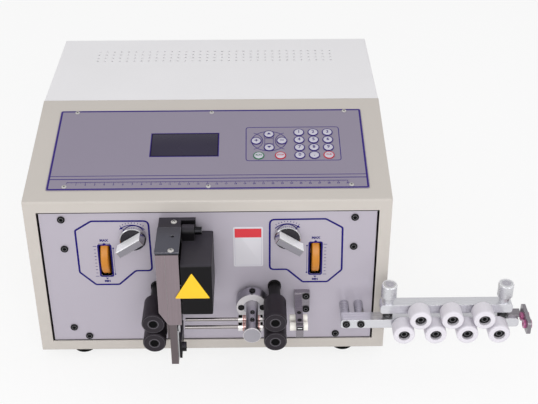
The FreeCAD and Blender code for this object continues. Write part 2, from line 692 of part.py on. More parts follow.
# ------------------------------------------------------------------ knobs and wheels
def lift_knob(side):
    """Round base with a bar handle, its shaft, and a cam that rises evenly with the turn."""
    body = new_body("lift_knob_" + side.name, (side.knob, 0.0, knob_z))
    zero = 0.0 * S.knob_radius
    seat = S.panel_y - S.clearance / 3
    face = seat - S.knob_thick
    cam_front = plate_back + S.clearance * 2
    cam_back = plate_back + S.press_plate_thick
    edge = S.knob_thick / 8
    outline = [(zero, face), (S.knob_radius - edge, face), (S.knob_radius, face + edge),
               (S.knob_radius, seat), (S.knob_shaft, seat), (S.knob_shaft, cam_back), (zero, cam_back)]
    turn_profile(body, "Y", outline)
    half = S.knob_bar_width / 2
    sign = side.sign
    nose = S.knob_bar_nose
    tail = S.knob_bar_tail
    bar = [(-nose, -half), (tail, -half), (tail, half), (-nose, half)]
    corners = turn_corners(bar, -number(S.knob_bar_slope))
    top = face - S.knob_bar_height
    pad(body, "XZ", top, face, [(x * sign, z) for x, z in corners])
    ease(body, S.knob_bar_edge, lambda middle, ends: near(middle.y, top), True)
    pad(body, "XZ", cam_front, cam_back, [(x * sign, z) for x, z in cam_outline()])
    return body


def cam_outline():
    """Corners of a cam whose radius grows in proportion to the angle from its top."""
    step = 9.5
    corners = []
    count = int(round(number(S.knob_turn) / step)) + 2
    for index in range(-1, count):
        angle = math.radians(90 + step * index)
        share = min(max(index * step / number(S.knob_turn), 0.0), 1.0)
        radius = S.cam_radius + S.press_lift * share
        corners.append((radius * math.cos(angle), radius * math.sin(angle)))
    back = S.cam_radius * 0.8
    for degrees in (230, 270, 310, 350, 30):
        angle = math.radians(degrees)
        corners.append((back * math.cos(angle), back * math.sin(angle)))
    return corners


def thumb_wheel(side):
    reach = S.wheel_width / 2 + S.lug_gap + S.lug_thick
    half = S.wheel_width / 2
    edge = half / 4
    zero = 0.0 * half
    rim = [(S.wheel_radius - edge, -half), (S.wheel_radius, edge - half), (S.wheel_radius, half - edge),
           (S.wheel_radius - edge, half)]
    outline = [(zero, -reach), (S.wheel_shaft, -reach), (S.wheel_shaft, -half), *rim,
               (S.wheel_shaft, half), (S.wheel_shaft, reach), (zero, reach)]
    return turned("thumb_wheel_" + side.name, "X", (side.wheel, S.wheel_y, wheel_z), outline)


def feed_motors():
    """Two square stepper motors on four posts each, behind the plate."""
    body = new_body("feed_motors")
    front, back = S.motor_front, S.motor_front + S.motor_length
    z = S.lower_roller_z
    squares = []
    posts = []
    bores = []
    for side in SIDES:
        squares.append(rectangle(*box_around(side.roller, z, S.motor_size, S.motor_size)))
        half = S.motor_post_pitch / 2
        corners = [(side.roller + half * i, z + half * j) for i in (-1, 1) for j in (-1, 1)]
        posts += [(corner, S.motor_post_radius) for corner in corners]
        bores.append(((side.roller, z), S.motor_shaft + S.fit))
    pad(body, "XZ", front, back, *squares)
    ease(body, S.motor_corner, lambda middle, ends: along(ends, "y"), True)
    pad(body, "XZ", plate_back, front, *posts)
    pocket(body, "XZ", front - S.sheet, front + S.motor_length / 2, *bores)
    return body


# ------------------------------------------------------------------ blade head
def head_block():
    """Black block on the panel behind the column, with the ear beside the guard's hinge."""
    body = new_body("head_block")
    left, front, back = S.head_left, S.head_back_front, S.panel_y
    pad(body, "XZ", front, back, rectangle(left, S.head_base + S.head_bevel_z, S.head_right, block_top))
    pad(body, "XZ", S.cap_step, front, rectangle(left, head_top, S.cap_right, block_top))
    ear_front = S.hinge_y + S.hinge_ear_radius + S.clearance
    ear = rectangle(S.head_right, block_ear_base, S.block_right, block_top)
    pad(body, "XZ", ear_front, back, ear)
    pin_hole = ((S.hinge_y, hinge_z), S.hinge_radius)
    pocket(body, "YZ", S.head_right - S.hinge_seat, S.head_right, pin_hole)
    return body


def hinge_pin():
    """Pin of the guard's hinge, pressed into the block, with a small knob on its end."""
    zero = 0.0 * S.hinge_radius
    start = S.head_right - S.hinge_seat
    outline = [(zero, start), (S.hinge_radius, start), (S.hinge_radius, S.hinge_right),
               (S.hinge_knob_radius, S.hinge_right), (S.hinge_knob_radius, S.hinge_knob_end),
               (zero, S.hinge_knob_end)]
    return turned("hinge_pin", "X", (0.0, S.hinge_y, hinge_z), outline)


def dovetail(y, gap, root):
    """Plan of the rib that guides a blade holder, or of its groove when gap is the clearance."""
    neck = S.rib_half + gap
    tail = S.rib_half + S.rib_flare + gap
    reach = S.rail_right - S.rib_reach - gap
    return [(reach, y - tail), (S.rail_right, y - neck), (root, y - neck), (root, y + neck),
            (S.rail_right, y + neck), (reach, y + tail)]


def head_column():
    """Silver channel: a thick rail on the left, a thin wall in front, open to the right."""
    body = new_body("head_column")
    left, right, front = S.head_left, S.head_right, S.head_front
    back = S.head_back_front
    base, top = S.head_base, head_top
    face = [(left, base + S.head_bevel_z), (left + S.head_bevel_x, base), (right, base),
            (right, top), (left, top)]
    pad(body, "XZ", front, back, face)
    hollow = rectangle(S.rail_right, front + S.head_wall, right + S.head_wall, back + S.head_wall)
    pocket(body, "XY", base - S.sheet, top + S.sheet, hollow)
    grooves = [dovetail(y, S.slide_gap, S.rail_right + S.head_wall) for y in (S.upper_rib_y, S.lower_rib_y)]
    pocket(body, "XY", base - S.sheet, top - S.head_wall * 2, *grooves)
    line = rectangle(S.rail_right - S.seam, front - S.seam, S.rail_right, front + S.seam)
    pocket(body, "XY", base - S.sheet, top + S.sheet, line)
    return body


def cap_plate():
    body = new_body("cap_plate")
    low, high = head_top, head_top + S.cap_thick
    outline = rectangle(S.head_left - S.cap_lip, S.head_front - S.cap_lip, S.cap_right, S.cap_step)
    pad(body, "XY", low, high, outline)
    x = (S.head_left + S.cap_right) / 2 + S.grub_radius * 2
    y = (S.head_front + S.cap_step) / 2 + S.grub_radius * 3
    pocket(body, "XY", low - S.sheet, high + S.sheet, ((x, y), S.grub_radius))
    return body


def cap_screws():
    body = new_body("cap_screws")
    x = (S.head_left + S.cap_right) / 2 + S.head_screw
    spots = [(x, S.head_front + S.head_screw * 1.1), (x, S.panel_y - S.head_screw * 1.9)]
    top = head_top + S.cap_thick
    pad(body, "XY", top, top + S.head_screw_height, *[(spot, S.head_screw) for spot in spots])
    return body


def lower_holder():
    """L-shaped slide: a block below the wires and a tongue that rises inside the column."""
    body = new_body("lower_holder")
    left = S.rail_right + S.slide_gap
    right = S.lower_holder_right
    front, back = S.holder_front, S.holder_back
    tongue = front + S.guide_tongue
    side = [(front, S.lower_holder_base), (back, S.lower_holder_base), (back, S.lower_holder_shoulder),
            (tongue, S.lower_holder_shoulder), (tongue, S.lower_holder_top), (front, S.lower_holder_top)]
    pad(body, "YZ", left, right, side)
    rib = dovetail(S.lower_rib_y, 0.0, left + S.slide_gap)
    pad(body, "XY", S.lower_holder_shoulder, S.lower_holder_top, rib)
    return body


def upper_holder():
    body = new_body("upper_holder")
    left = S.rail_right + S.slide_gap
    tongue = S.holder_front + S.guide_tongue + S.slide_gap
    low, high = S.upper_holder_base, S.upper_holder_top
    pad(body, "XY", low, high, rectangle(left, tongue, S.upper_holder_right, S.holder_back))
    pad(body, "XY", low, high, dovetail(S.upper_rib_y, 0.0, left + S.slide_gap))
    return body


def blade(name, left, edge, away):
    """Flat blade with two notches; edge is the height of its cutting side, away the body's side."""
    body = new_body(name)
    foot = edge + S.blade_height * away
    root = edge + S.blade_notch * away
    corners = [(S.blade_back, edge)]
    for y in wire_ys:
        corners += [(y + S.blade_notch_half, edge), (y, root), (y - S.blade_notch_half, edge)]
    corners += [(S.blade_front, edge), (S.blade_front, foot), (S.blade_back, foot)]
    pad(body, "YZ", left, left + S.blade_thick, corners)
    return body


lower_edge = S.wire_z + S.blade_overlap / 2
upper_edge = S.wire_z - S.blade_overlap / 2


def lower_blade():
    return blade("lower_blade", S.lower_holder_right, lower_edge, -1)


def upper_blade():
    return blade("upper_blade", S.upper_holder_right, upper_edge, 1)


def blade_clamp(name, left, front, low, screws):
    """Clamp strip beside a blade with its socket screws, counted from the front."""
    body = new_body(name)
    right = left + S.clamp_thick
    pad(body, "YZ", left, right, rectangle(front, low, S.blade_back, low + S.clamp_height))
    height = low + S.clamp_height / 2
    spots = [(front + S.clamp_screw, height), (S.blade_back - S.clamp_screw, height)][:screws]
    pad(body, "YZ", right, right + S.clamp_screw_height, *[(spot, S.clamp_screw) for spot in spots])
    top = right + S.clamp_screw_height
    pocket(body, "YZ", top - S.cap_socket_depth, top, *[hexagon(spot, S.clamp_screw) for spot in spots])
    return body


def lower_clamp():
    left = S.lower_holder_right + S.blade_thick
    return blade_clamp("lower_clamp", left, S.holder_front, lower_edge - S.blade_height, 1)


def upper_clamp():
    left = S.upper_holder_right + S.blade_thick
    front = S.holder_front + S.guide_tongue
    return blade_clamp("upper_clamp", left, front, upper_edge + S.blade_height - S.clamp_height, 2)


def blade_guard():
    """Black cover over the blades, open towards the column, the panel and the bench."""
    body = new_body("blade_guard")
    wall = S.guard_wall
    back = S.panel_y - S.clearance * 3
    box = rectangle(S.guard_left, S.guard_base, S.guard_right, guard_top)
    pad(body, "XZ", S.guard_front, back, box)
    front = S.guard_front
    ease(body, S.guard_corner, lambda middle, ends: near(middle.y, front) and not near(middle.z, S.guard_base)
         or near(middle.x, S.guard_right) and near(middle.z, guard_top))
    hollow = rectangle(S.guard_left - wall, S.guard_base - wall, S.guard_right - wall, guard_top - wall)
    pocket(body, "XZ", S.guard_front + wall, back + wall, hollow)
    ear = S.hinge_ear_radius
    left = S.guard_left
    right = S.hinge_right - S.clearance
    tab = rectangle(S.hinge_y - ear, guard_top - wall, S.hinge_y + ear, hinge_z)
    pad(body, "YZ", left, right, tab)
    pad(body, "YZ", left, right, ((S.hinge_y, hinge_z), ear))
    pocket(body, "YZ", left - wall, right + wall, ((S.hinge_y, hinge_z), S.hinge_radius + S.fit))
    return body


# ------------------------------------------------------------------ conduit holder
def conduit_hub():
    """Split drum on its shaft, with a round post whose sides are milled flat."""
    body = new_body("conduit_hub", (S.hub_x, 0.0, S.wire_z))
    zero = 0.0 * S.hub_radius
    end = plate_back + S.plate_thick
    outline = [(zero, S.post_front), (S.post_radius - S.seam, S.post_front),
               (S.post_radius, S.post_front + S.seam), (S.post_radius, S.hub_front),
               (S.hub_radius - S.seam, S.hub_front), (S.hub_radius, S.hub_front + S.seam),
               (S.hub_radius, S.hub_back), (S.hub_shaft, S.hub_back), (S.hub_shaft, end), (zero, end)]
    turn_profile(body, "Y", outline)
    for sign in (-1, 1):
        left, right = span(S.post_half * sign, S.post_radius * sign)
        flat = rectangle(left, -S.post_radius, right, S.post_radius)
        pocket(body, "XZ", S.post_flat_front, S.hub_front, flat)
    half = S.hub_split / 2
    split = rectangle(-half, S.hub_shaft + S.clearance, half, S.hub_radius + S.clearance)
    pocket(body, "XZ", S.hub_front, S.hub_back + S.sheet, split)
    bore = [((y, zero), S.tube_outer + S.fit / 2) for y in wire_ys]
    pocket(body, "YZ", -S.post_radius, S.post_radius, *bore)
    for y in wire_ys:
        pocket(body, "XY", S.tube_outer + S.fit, S.post_radius + S.sheet, ((zero, y), S.grub_radius))
    return body


def conduit_tubes():
    body = new_body("conduit_tubes", (0.0, 0.0, S.wire_z))
    zero = 0.0 * S.hub_radius
    spots = [(y, zero) for y in wire_ys]
    pad(body, "YZ", S.tube_left, S.tube_right, *[(spot, S.tube_outer) for spot in spots])
    bores = [(spot, S.tube_inner) for spot in spots]
    pocket(body, "YZ", S.tube_left - S.sheet, S.tube_right + S.sheet, *bores)
    return body


def conduit_nuts():
    body = new_body("conduit_nuts", (0.0, 0.0, S.wire_z))
    zero = 0.0 * S.hub_radius
    spots = [(y, zero) for y in wire_ys]
    left = (S.nut_left, S.hub_x - S.post_half)
    right = (S.hub_x + S.post_half, S.nut_right)
    for low, high in (left, right):
        pad(body, "YZ", low, high, *[(spot, S.nut_radius) for spot in spots])
    bores = [(spot, S.tube_outer + S.fit) for spot in spots]
    pocket(body, "YZ", S.nut_left - S.sheet, S.nut_right + S.sheet, *bores)
    return body


# ------------------------------------------------------------------ wire inlet
def inlet_block():
    """Flange on the panel and a bar to the front that holds the two wire liners."""
    body = new_body("inlet_block")
    left, right = S.inlet_left, S.inlet_right
    flange_front = S.panel_y - S.inlet_flange_thick
    flange = rectangle(left, S.inlet_flange_base, S.inlet_flange_right, S.inlet_flange_top)
    pad(body, "XZ", flange_front, S.panel_y, flange)
    side = [(S.inlet_front, S.inlet_base), (flange_front, S.inlet_base), (flange_front, S.inlet_top),
            (S.inlet_front, S.inlet_top)]
    pad(body, "YZ", left, right, side)
    slot_front = S.inlet_front + S.inlet_lip
    slot = rectangle(left - S.sheet, slot_front, right + S.sheet, slot_front + S.inlet_slot)
    pocket(body, "XY", S.inlet_top - S.inlet_slot_depth, S.inlet_top, slot)
    spots = [(y, S.wire_z) for y in wire_ys]
    pocket(body, "YZ", left - S.sheet, right + S.sheet, *[(spot, S.liner_outer + S.fit) for spot in spots])
    middle = (left + right) / 2
    for y in wire_ys:
        pocket(body, "XY", S.wire_z + S.liner_outer, S.inlet_top + S.sheet, ((middle, y), S.grub_radius))
    holes = [(spot, S.cap_shank + S.fit) for spot in inlet_screws]
    pocket(body, "XZ", flange_front - S.sheet, S.panel_y + S.sheet, *holes)
    return body


def inlet_liners():
    body = new_body("inlet_liners")
    spots = [(y, S.wire_z) for y in wire_ys]
    pad(body, "YZ", S.liner_left, S.liner_right, *[(spot, S.liner_outer) for spot in spots])
    bores = [(spot, S.liner_inner) for spot in spots]
    pocket(body, "YZ", S.liner_left - S.sheet, S.liner_right + S.sheet, *bores)
    return body


# ------------------------------------------------------------------ wire straightener
lower_idlers = [S.idler_x + S.idler_pitch * index for index in range(4)]
upper_idlers = [S.upper_idler_x + S.idler_pitch * index for index in range(3)]
thumb_places = (("left", S.thumb_left_x), ("right", S.thumb_right_x))
axle_hole_back = S.bar_front + S.axle_depth


def straightener_posts():
    body = new_body("straightener_posts")
    pad(body, "XZ", S.bar_back, S.panel_y, *[(spot, S.bar_post_radius) for spot in bar_screws])
    holes = [(spot, S.cap_shank + S.fit) for spot in bar_screws]
    pocket(body, "XZ", S.bar_back - S.sheet, S.panel_y + S.sheet, *holes)
    return body


def straightener_bar(name, left, right, z, axles):
    body = new_body(name)
    half = S.bar_height / 2
    pad(body, "XZ", S.bar_front, S.bar_back, rectangle(left, z - half, right, z + half))
    ease(body, S.bar_corner, lambda middle, ends: along(ends, "y"))
    holes = [((x, z), S.axle_radius + S.fit / 2) for x in axles]
    pocket(body, "XZ", S.bar_front - S.sheet, axle_hole_back, *holes)
    return body


def lower_bar():
    left, right = S.lower_bar_left, S.lower_bar_right
    body = straightener_bar("straightener_lower_bar", left, right, S.lower_bar_z, lower_idlers)
    half = S.bar_height / 2 + S.sheet
    holes = [(spot, S.cap_shank + S.fit) for spot in bar_screws]
    pocket(body, "XZ", S.bar_front - S.sheet, S.bar_back + S.sheet, *holes)
    studs = [((x, S.thumb_y), S.thumb_stud + S.fit) for _, x in thumb_places]
    pocket(body, "XY", S.lower_bar_z - half, S.lower_bar_z + half, *studs)
    return body


def upper_bar():
    left, right = S.upper_bar_left, S.upper_bar_right
    body = straightener_bar("straightener_upper_bar", left, right, S.upper_bar_z, upper_idlers)
    half = S.bar_height / 2 + S.sheet
    studs = [((x, S.thumb_y), S.thumb_stud + S.fit) for _, x in thumb_places]
    pocket(body, "XY", S.upper_bar_z - half, S.upper_bar_z + half, *studs)
    return body


def idler(name, x, z):
    """White roller with a recessed front, running on its axle screw."""
    inner = S.axle_radius + S.fit
    back, front = S.idler_back, S.idler_front
    floor = front + S.idler_recess_depth
    soft = S.idler_soft
    knee = soft * (1 - math.cos(math.radians(45)))
    low, high = S.idler_radius - soft, S.idler_radius - knee
    outline = [(inner, back), (low, back), (high, back - knee), (S.idler_radius, back - soft),
               (S.idler_radius, front + soft), (high, front + knee), (low, front), (S.idler_recess, front),
               (S.idler_recess, floor), (inner, floor)]
    return turned(name, "Y", (x, 0.0, z), outline)


def axle_screws(name, places, z):
    """Axle screws of one bar: collar, axle, head and socket."""
    body = new_body(name)
    spots = [(x, z) for x in places]
    floor = S.idler_front + S.idler_recess_depth - S.clearance
    head_front = floor - S.axle_head_height
    pad(body, "XZ", floor, axle_hole_back, *[(spot, S.axle_radius) for spot in spots])
    pad(body, "XZ", head_front, floor, *[(spot, S.axle_head) for spot in spots])
    pad(body, "XZ", S.idler_back + S.clearance, S.bar_front, *[(spot, S.axle_collar) for spot in spots])
    sockets = [hexagon(spot, S.axle_socket) for spot in spots]
    pocket(body, "XZ", head_front, head_front + S.axle_head_height / 2, *sockets)
    return body


def thumb_screw(name, x):
    """Knurled head, collar on the upper bar, and the stud that reaches into the lower bar."""
    seat = S.upper_bar_z + S.bar_height / 2
    head = seat + S.thumb_collar_height
    top = head + S.thumb_height
    low = S.lower_bar_z - S.bar_height / 2
    zero = 0.0 * S.thumb_radius
    edge = S.thumb_height / 12
    outline = [(zero, low), (S.thumb_stud, low), (S.thumb_stud, seat), (S.thumb_collar, seat),
               (S.thumb_collar, head), (S.thumb_radius - edge, head), (S.thumb_radius, head + edge),
               (S.thumb_radius, top - edge), (S.thumb_radius - edge, top), (zero, top)]
    return turned(name, "Z", (x, S.thumb_y, 0.0), outline)


def straightener_springs():
    body = new_body("straightener_springs")
    low = S.lower_bar_z + S.bar_height / 2
    high = S.upper_bar_z - S.bar_height / 2
    spots = [(x, S.thumb_y) for _, x in thumb_places]
    pad(body, "XY", low, high, *[(spot, S.spring_radius) for spot in spots])
    inner = S.spring_radius - S.spring_wire
    pocket(body, "XY", low - S.sheet, high + S.sheet, *[(spot, inner) for spot in spots])
    return body


def guide_plate():
    """Upright plate at the bar's end with the eyelets, and the foot that joins it to the bar."""
    body = new_body("guide_plate")
    left, right = S.guide_left, S.guide_left + S.guide_thick
    face = rectangle(S.guide_front, S.guide_base, S.guide_back, S.guide_top)
    pad(body, "YZ", left, right, face)
    ease(body, S.bar_corner, lambda middle, ends: along(ends, "x"))
    foot_low = S.lower_bar_z + S.bar_height / 2
    foot = rectangle(S.guide_foot_front, foot_low, S.bar_back, foot_low + S.guide_foot_thick)
    pad(body, "YZ", left - S.guide_foot, left, foot)
    bores = [((y, S.wire_z), S.eyelet_outer + S.fit / 2) for y in wire_ys]
    pocket(body, "YZ", left - S.sheet, right + S.sheet, *bores)
    return body


def guide_eyelets():
    """Flanged ceramic eyelets that lead the wires in."""
    body = new_body("guide_eyelets")
    left, right = S.guide_left, S.guide_left + S.guide_thick
    spots = [(y, S.wire_z) for y in wire_ys]
    pad(body, "YZ", left - S.eyelet_lip, left, *[(spot, S.eyelet_flange) for spot in spots])
    pad(body, "YZ", left, right, *[(spot, S.eyelet_outer) for spot in spots])
    pad(body, "YZ", right, right + S.eyelet_lip, *[(spot, S.eyelet_flange) for spot in spots])
    reach = S.eyelet_lip * 2
    pocket(body, "YZ", left - reach, right + reach, *[(spot, S.eyelet_bore) for spot in spots])
    return body


# ------------------------------------------------------------------ back of the case
def power_inlet():
    """Mains inlet with its three pins, and the frame of the power switch."""
    body = new_body("power_inlet")
    back = S.case_depth
    inside = back - S.inlet_socket_depth
    rim = S.switch_rim
    for x, z, width, height in rear_openings:
        pad(body, "XZ", inside, back, rectangle(*box_around(x, z, width - S.seam, height - S.seam)))
        pad(body, "XZ", back, back + rim, rectangle(*box_around(x, z, width + rim * 3, height + rim * 3)))
    x, z = S.inlet_socket_x, S.inlet_socket_z
    floor = back + rim - S.plug_depth
    pocket(body, "XZ", floor, back + rim, rectangle(*box_around(x, z, S.plug_width, S.plug_height)))
    pins = [(x, z + S.plug_pin_height / 2), (x - S.plug_width / 4, z - S.plug_pin_height / 2),
            (x + S.plug_width / 4, z - S.plug_pin_height / 2)]
    slots = [rectangle(*box_around(a, b, S.plug_pin_width, S.plug_pin_height)) for a, b in pins]
    pad(body, "XZ", floor, floor + S.plug_depth * 0.8, *slots)
    x, z = S.switch_x, S.switch_z
    width = S.switch_width - S.switch_wall * 2
    height = S.switch_height - S.switch_wall * 2
    pocket(body, "XZ", inside + S.switch_wall, back + rim, rectangle(*box_around(x, z, width, height)))
    reach = width / 2 + S.rocker_pivot
    pocket(body, "YZ", x - reach, x + reach, ((back, z), S.rocker_pivot + S.fit))
    return body


def power_rocker():
    """Rocker of the power switch on two short trunnions, resting with its upper end in."""
    body = new_body("power_rocker", (S.switch_x, S.case_depth, S.switch_z))
    half = S.switch_width / 2 - S.switch_wall - S.clearance
    tall = S.switch_height / 2 - S.switch_wall - S.clearance * 4
    depth = S.rocker_depth
    profile = [(-depth, -tall / 2), (S.rocker_reach, -tall), (S.rocker_middle, 0.0 * tall),
               (S.rocker_sunk, tall), (-depth, tall / 2)]
    pad(body, "YZ", -half, half, profile)
    reach = half + S.clearance + S.rocker_pivot - S.seam
    pad(body, "YZ", -reach, reach, ((0.0 * half, 0.0 * half), S.rocker_pivot))
    return body


# ------------------------------------------------------------------ assembly
def build_all():
    case_shell()
    lid_vents(case_lid())
    back_panel()
    rubber_feet()
    front_panel()
    mount_plate()
    socket_screws()
    console_overlay()
    for side in SIDES:
        feed_roller(side, "lower", S.lower_roller_z)
        feed_roller(side, "upper", S.upper_roller_z)
        feed_shaft(side, "lower", S.lower_roller_z, True)
        feed_shaft(side, "upper", S.upper_roller_z, False)
        press_slide(side)
        lift_knob(side)
        thumb_wheel(side)
    feed_motors()
    head_block()
    hinge_pin()
    head_column()
    cap_plate()
    cap_screws()
    lower_holder()
    upper_holder()
    lower_blade()
    upper_blade()
    lower_clamp()
    upper_clamp()
    blade_guard()
    conduit_hub()
    conduit_tubes()
    conduit_nuts()
    inlet_block()
    inlet_liners()
    straightener_posts()
    lower_bar()
    upper_bar()
    for index, x in enumerate(lower_idlers, start=1):
        idler("lower_idler_%d" % index, x, S.lower_bar_z)
    for index, x in enumerate(upper_idlers, start=1):
        idler("upper_idler_%d" % index, x, S.upper_bar_z)
    axle_screws("lower_axle_screws", lower_idlers, S.lower_bar_z)
    axle_screws("upper_axle_screws", upper_idlers, S.upper_bar_z)
    for side_name, x in thumb_places:
        thumb_screw("thumb_screw_" + side_name, x)
    straightener_springs()
    guide_plate()
    guide_eyelets()
    power_inlet()
    power_rocker()


def check_and_export():
    doc.recompute()
    for thing in doc.Objects:
        if "Invalid" in thing.State or "Error" in thing.State:
            raise RuntimeError("%s failed: %s" % (thing.Name, thing.State))
        if thing.TypeId in ("PartDesign::Pocket", "PartDesign::Groove"):
            before = thing.BaseFeature.Shape.Volume
            if before - thing.Shape.Volume < 1e-3:
                raise RuntimeError("%s cuts nothing" % thing.Name)
    os.makedirs("parts", exist_ok=True)
    for thing in NODES:
        shape = thing.Shape
        if shape.isNull() or not shape.isValid():
            raise RuntimeError("%s has no sound shape" % thing.Label)
        shape.exportStep("parts/%s.step" % thing.Label)
        print("%-26s %2d solids %10.1f mm3" % (thing.Label, len(shape.Solids), shape.Volume))


build_all()
check_and_export()
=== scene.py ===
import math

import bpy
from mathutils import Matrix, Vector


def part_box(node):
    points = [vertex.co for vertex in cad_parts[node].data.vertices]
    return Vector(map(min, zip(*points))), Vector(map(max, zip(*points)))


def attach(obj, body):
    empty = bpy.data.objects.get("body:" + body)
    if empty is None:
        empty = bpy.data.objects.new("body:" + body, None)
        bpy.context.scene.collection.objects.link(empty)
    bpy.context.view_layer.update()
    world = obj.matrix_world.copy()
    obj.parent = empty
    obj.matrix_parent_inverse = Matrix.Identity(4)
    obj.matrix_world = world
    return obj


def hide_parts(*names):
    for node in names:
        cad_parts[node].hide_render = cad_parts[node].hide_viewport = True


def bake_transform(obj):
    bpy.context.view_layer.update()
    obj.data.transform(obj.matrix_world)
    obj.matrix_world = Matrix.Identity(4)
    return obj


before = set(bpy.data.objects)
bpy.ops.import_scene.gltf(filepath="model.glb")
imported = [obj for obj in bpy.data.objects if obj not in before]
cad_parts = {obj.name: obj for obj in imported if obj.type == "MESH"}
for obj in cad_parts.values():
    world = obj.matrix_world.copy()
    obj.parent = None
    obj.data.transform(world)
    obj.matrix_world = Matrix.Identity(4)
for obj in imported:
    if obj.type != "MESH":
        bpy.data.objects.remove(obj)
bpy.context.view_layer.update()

# %% [markdown]
# # A bench machine that cuts and strips wire
# The moving frame of the machine is already here: every solid was built to size, and each one rides
# on the body that carries it. This lesson dresses it. We write the materials, model the small pieces
# that the solids leave out (printing, keys, screws, springs), and light it like a studio shot.
# All places are given in millimetres from the lower front edge of the case, in its middle, because
# that is where someone with a ruler would start. One helper turns such a place into metres.

MM = 0.001
case_low, case_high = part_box("case_shell")
case_middle = (case_low.x + case_high.x) / 2


def spot(x, y, z):
    """A place in metres, from millimetres right of, behind and above the middle of the lower front edge."""
    return Vector((case_middle + x * MM, case_low.y + y * MM, case_low.z + z * MM))


def from_case(point):
    """The opposite way: millimetres on the machine, from a place in metres."""
    start = spot(0, 0, 0)
    return (point - start) / MM


def millimetres(node):
    """Lowest and highest corners of a solid, in millimetres on the machine."""
    low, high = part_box(node)
    return from_case(low), from_case(high)


print("case from", millimetres("case_shell"))

# %% [markdown]
# ## Camera
# A long lens keeps the case from looking stretched. Its angle of view is the focal length against
# the 36 mm sensor, and the camera looks down at 32 degrees from a little right of the middle.

# %% Camera
CAMERA_PLACE = spot(52.4, -948.9, 792.0)
LOOK_DOWN = math.radians(32.045)
LOOK_RIGHT = math.radians(0.738)
ROLL = math.radians(-0.123)
FOCAL_PIXELS = 1065.0
PICTURE_WIDTH = 538.0
SENSOR = 36.0

forward = Vector((math.sin(LOOK_RIGHT) * math.cos(LOOK_DOWN), math.cos(LOOK_RIGHT) * math.cos(LOOK_DOWN),
                  -math.sin(LOOK_DOWN)))
bpy.ops.object.camera_add(location=CAMERA_PLACE)
camera = bpy.context.object
camera.rotation_mode = "QUATERNION"
camera.rotation_quaternion = forward.to_track_quat("-Z", "Y") @ Matrix.Rotation(ROLL, 3, "Z").to_quaternion()
camera.data.sensor_width = SENSOR
camera.data.lens = FOCAL_PIXELS / PICTURE_WIDTH * SENSOR
camera.data.clip_start = 0.05
camera.data.clip_end = 20.0
bpy.context.scene.camera = camera
print("lens", round(camera.data.lens, 2), "mm")

# %% [markdown]
# ## Floor, background and light
# Product shots are lit with large soft lamps. A big lamp above and in front gives the pale front
# face its brightness, weaker ones fill it from the left, the right and the top, and the world adds
# the rest from all sides. The camera, mirrors and glass see the background as white. Matt surfaces
# are lit by the world's own lower level.

# %% Floor and background
bpy.context.scene.view_settings.view_transform = "Standard"


def linear(red, green, blue):
    """A colour as it looks on screen, turned into the linear values that a shader wants."""
    screen = (red, green, blue)
    return tuple(((c + 0.055) / 1.055) ** 2.4 if c > 0.04045 else c / 12.92 for c in screen) + (1.0,)


def white_to_the_eye(tree, surface, socket, amount=1.0):
    """Put plain white over a surface, by an amount, where a camera, mirror or glass ray meets it."""
    rays = tree.nodes.new("ShaderNodeLightPath")
    seen = tree.nodes.new("ShaderNodeMath")
    seen.operation = "MAXIMUM"
    either = tree.nodes.new("ShaderNodeMath")
    either.operation = "MAXIMUM"
    share = tree.nodes.new("ShaderNodeMath")
    share.operation = "MULTIPLY"
    share.inputs[1].default_value = amount
    white = tree.nodes.new("ShaderNodeBackground" if socket.node.bl_idname == "ShaderNodeOutputWorld" else
                           "ShaderNodeEmission")
    mix = tree.nodes.new("ShaderNodeMixShader")
    tree.links.new(rays.outputs["Is Camera Ray"], seen.inputs[0])
    tree.links.new(rays.outputs["Is Glossy Ray"], seen.inputs[1])
    tree.links.new(seen.outputs[0], either.inputs[0])
    tree.links.new(rays.outputs["Is Transmission Ray"], either.inputs[1])
    tree.links.new(either.outputs[0], share.inputs[0])
    tree.links.new(share.outputs[0], mix.inputs[0])
    tree.links.new(surface, mix.inputs[1])
    tree.links.new(white.outputs[0], mix.inputs[2])
    tree.links.new(mix.outputs[0], socket)
    return white


WORLD_LEVEL = 0.58
world = bpy.data.worlds.new("studio")
bpy.context.scene.world = world
world.use_nodes = True
back = world.node_tree.nodes["Background"]
back.inputs["Color"].default_value = (1.0, 1.0, 1.0, 1.0)
back.inputs["Strength"].default_value = WORLD_LEVEL
white_to_the_eye(world.node_tree, back.outputs[0], world.node_tree.nodes["World Output"].inputs["Surface"])

FLOOR_SIZE = 6.0
bpy.ops.mesh.primitive_plane_add(size=FLOOR_SIZE, location=(0.0, FLOOR_SIZE / 10, 0.0))
floor = bpy.context.object
floor.name = "floor"
floor_paint = bpy.data.materials.new("floor_paint")
floor_paint.use_nodes = True
floor_shader = floor_paint.node_tree.nodes["Principled BSDF"]
floor_shader.inputs["Base Color"].default_value = linear(0.97, 0.97, 0.97)
floor_shader.inputs["Roughness"].default_value = 0.9
FLOOR_WHITE = 0.8
white_to_the_eye(floor_paint.node_tree, floor_shader.outputs[0],
                 floor_paint.node_tree.nodes["Material Output"].inputs["Surface"], FLOOR_WHITE)
floor.data.materials.append(floor_paint)
print("floor and white background")

# %% Lamps
LAMP_TARGET = Vector((0.0, 0.0, 0.1))
LAMPS = {
    "front_softbox": ((0.1, -1.9, 1.0), 1.5, 19.0),
    "left_fill": ((-1.7, -0.5, 1.2), 1.2, 5.0),
    "right_fill": ((1.8, -0.4, 1.3), 1.2, 4.0),
    "top_softbox": ((0.0, 0.3, 2.1), 1.6, 2.5),
}
for name, (place, size, power) in LAMPS.items():
    bpy.ops.object.light_add(type="AREA", location=place)
    lamp = bpy.context.object
    lamp.name = name
    lamp.data.size = size
    lamp.data.energy = power
    lamp.rotation_mode = "QUATERNION"
    lamp.rotation_quaternion = (LAMP_TARGET - Vector(place)).to_track_quat("-Z", "Y")
print(len(LAMPS), "lamps")

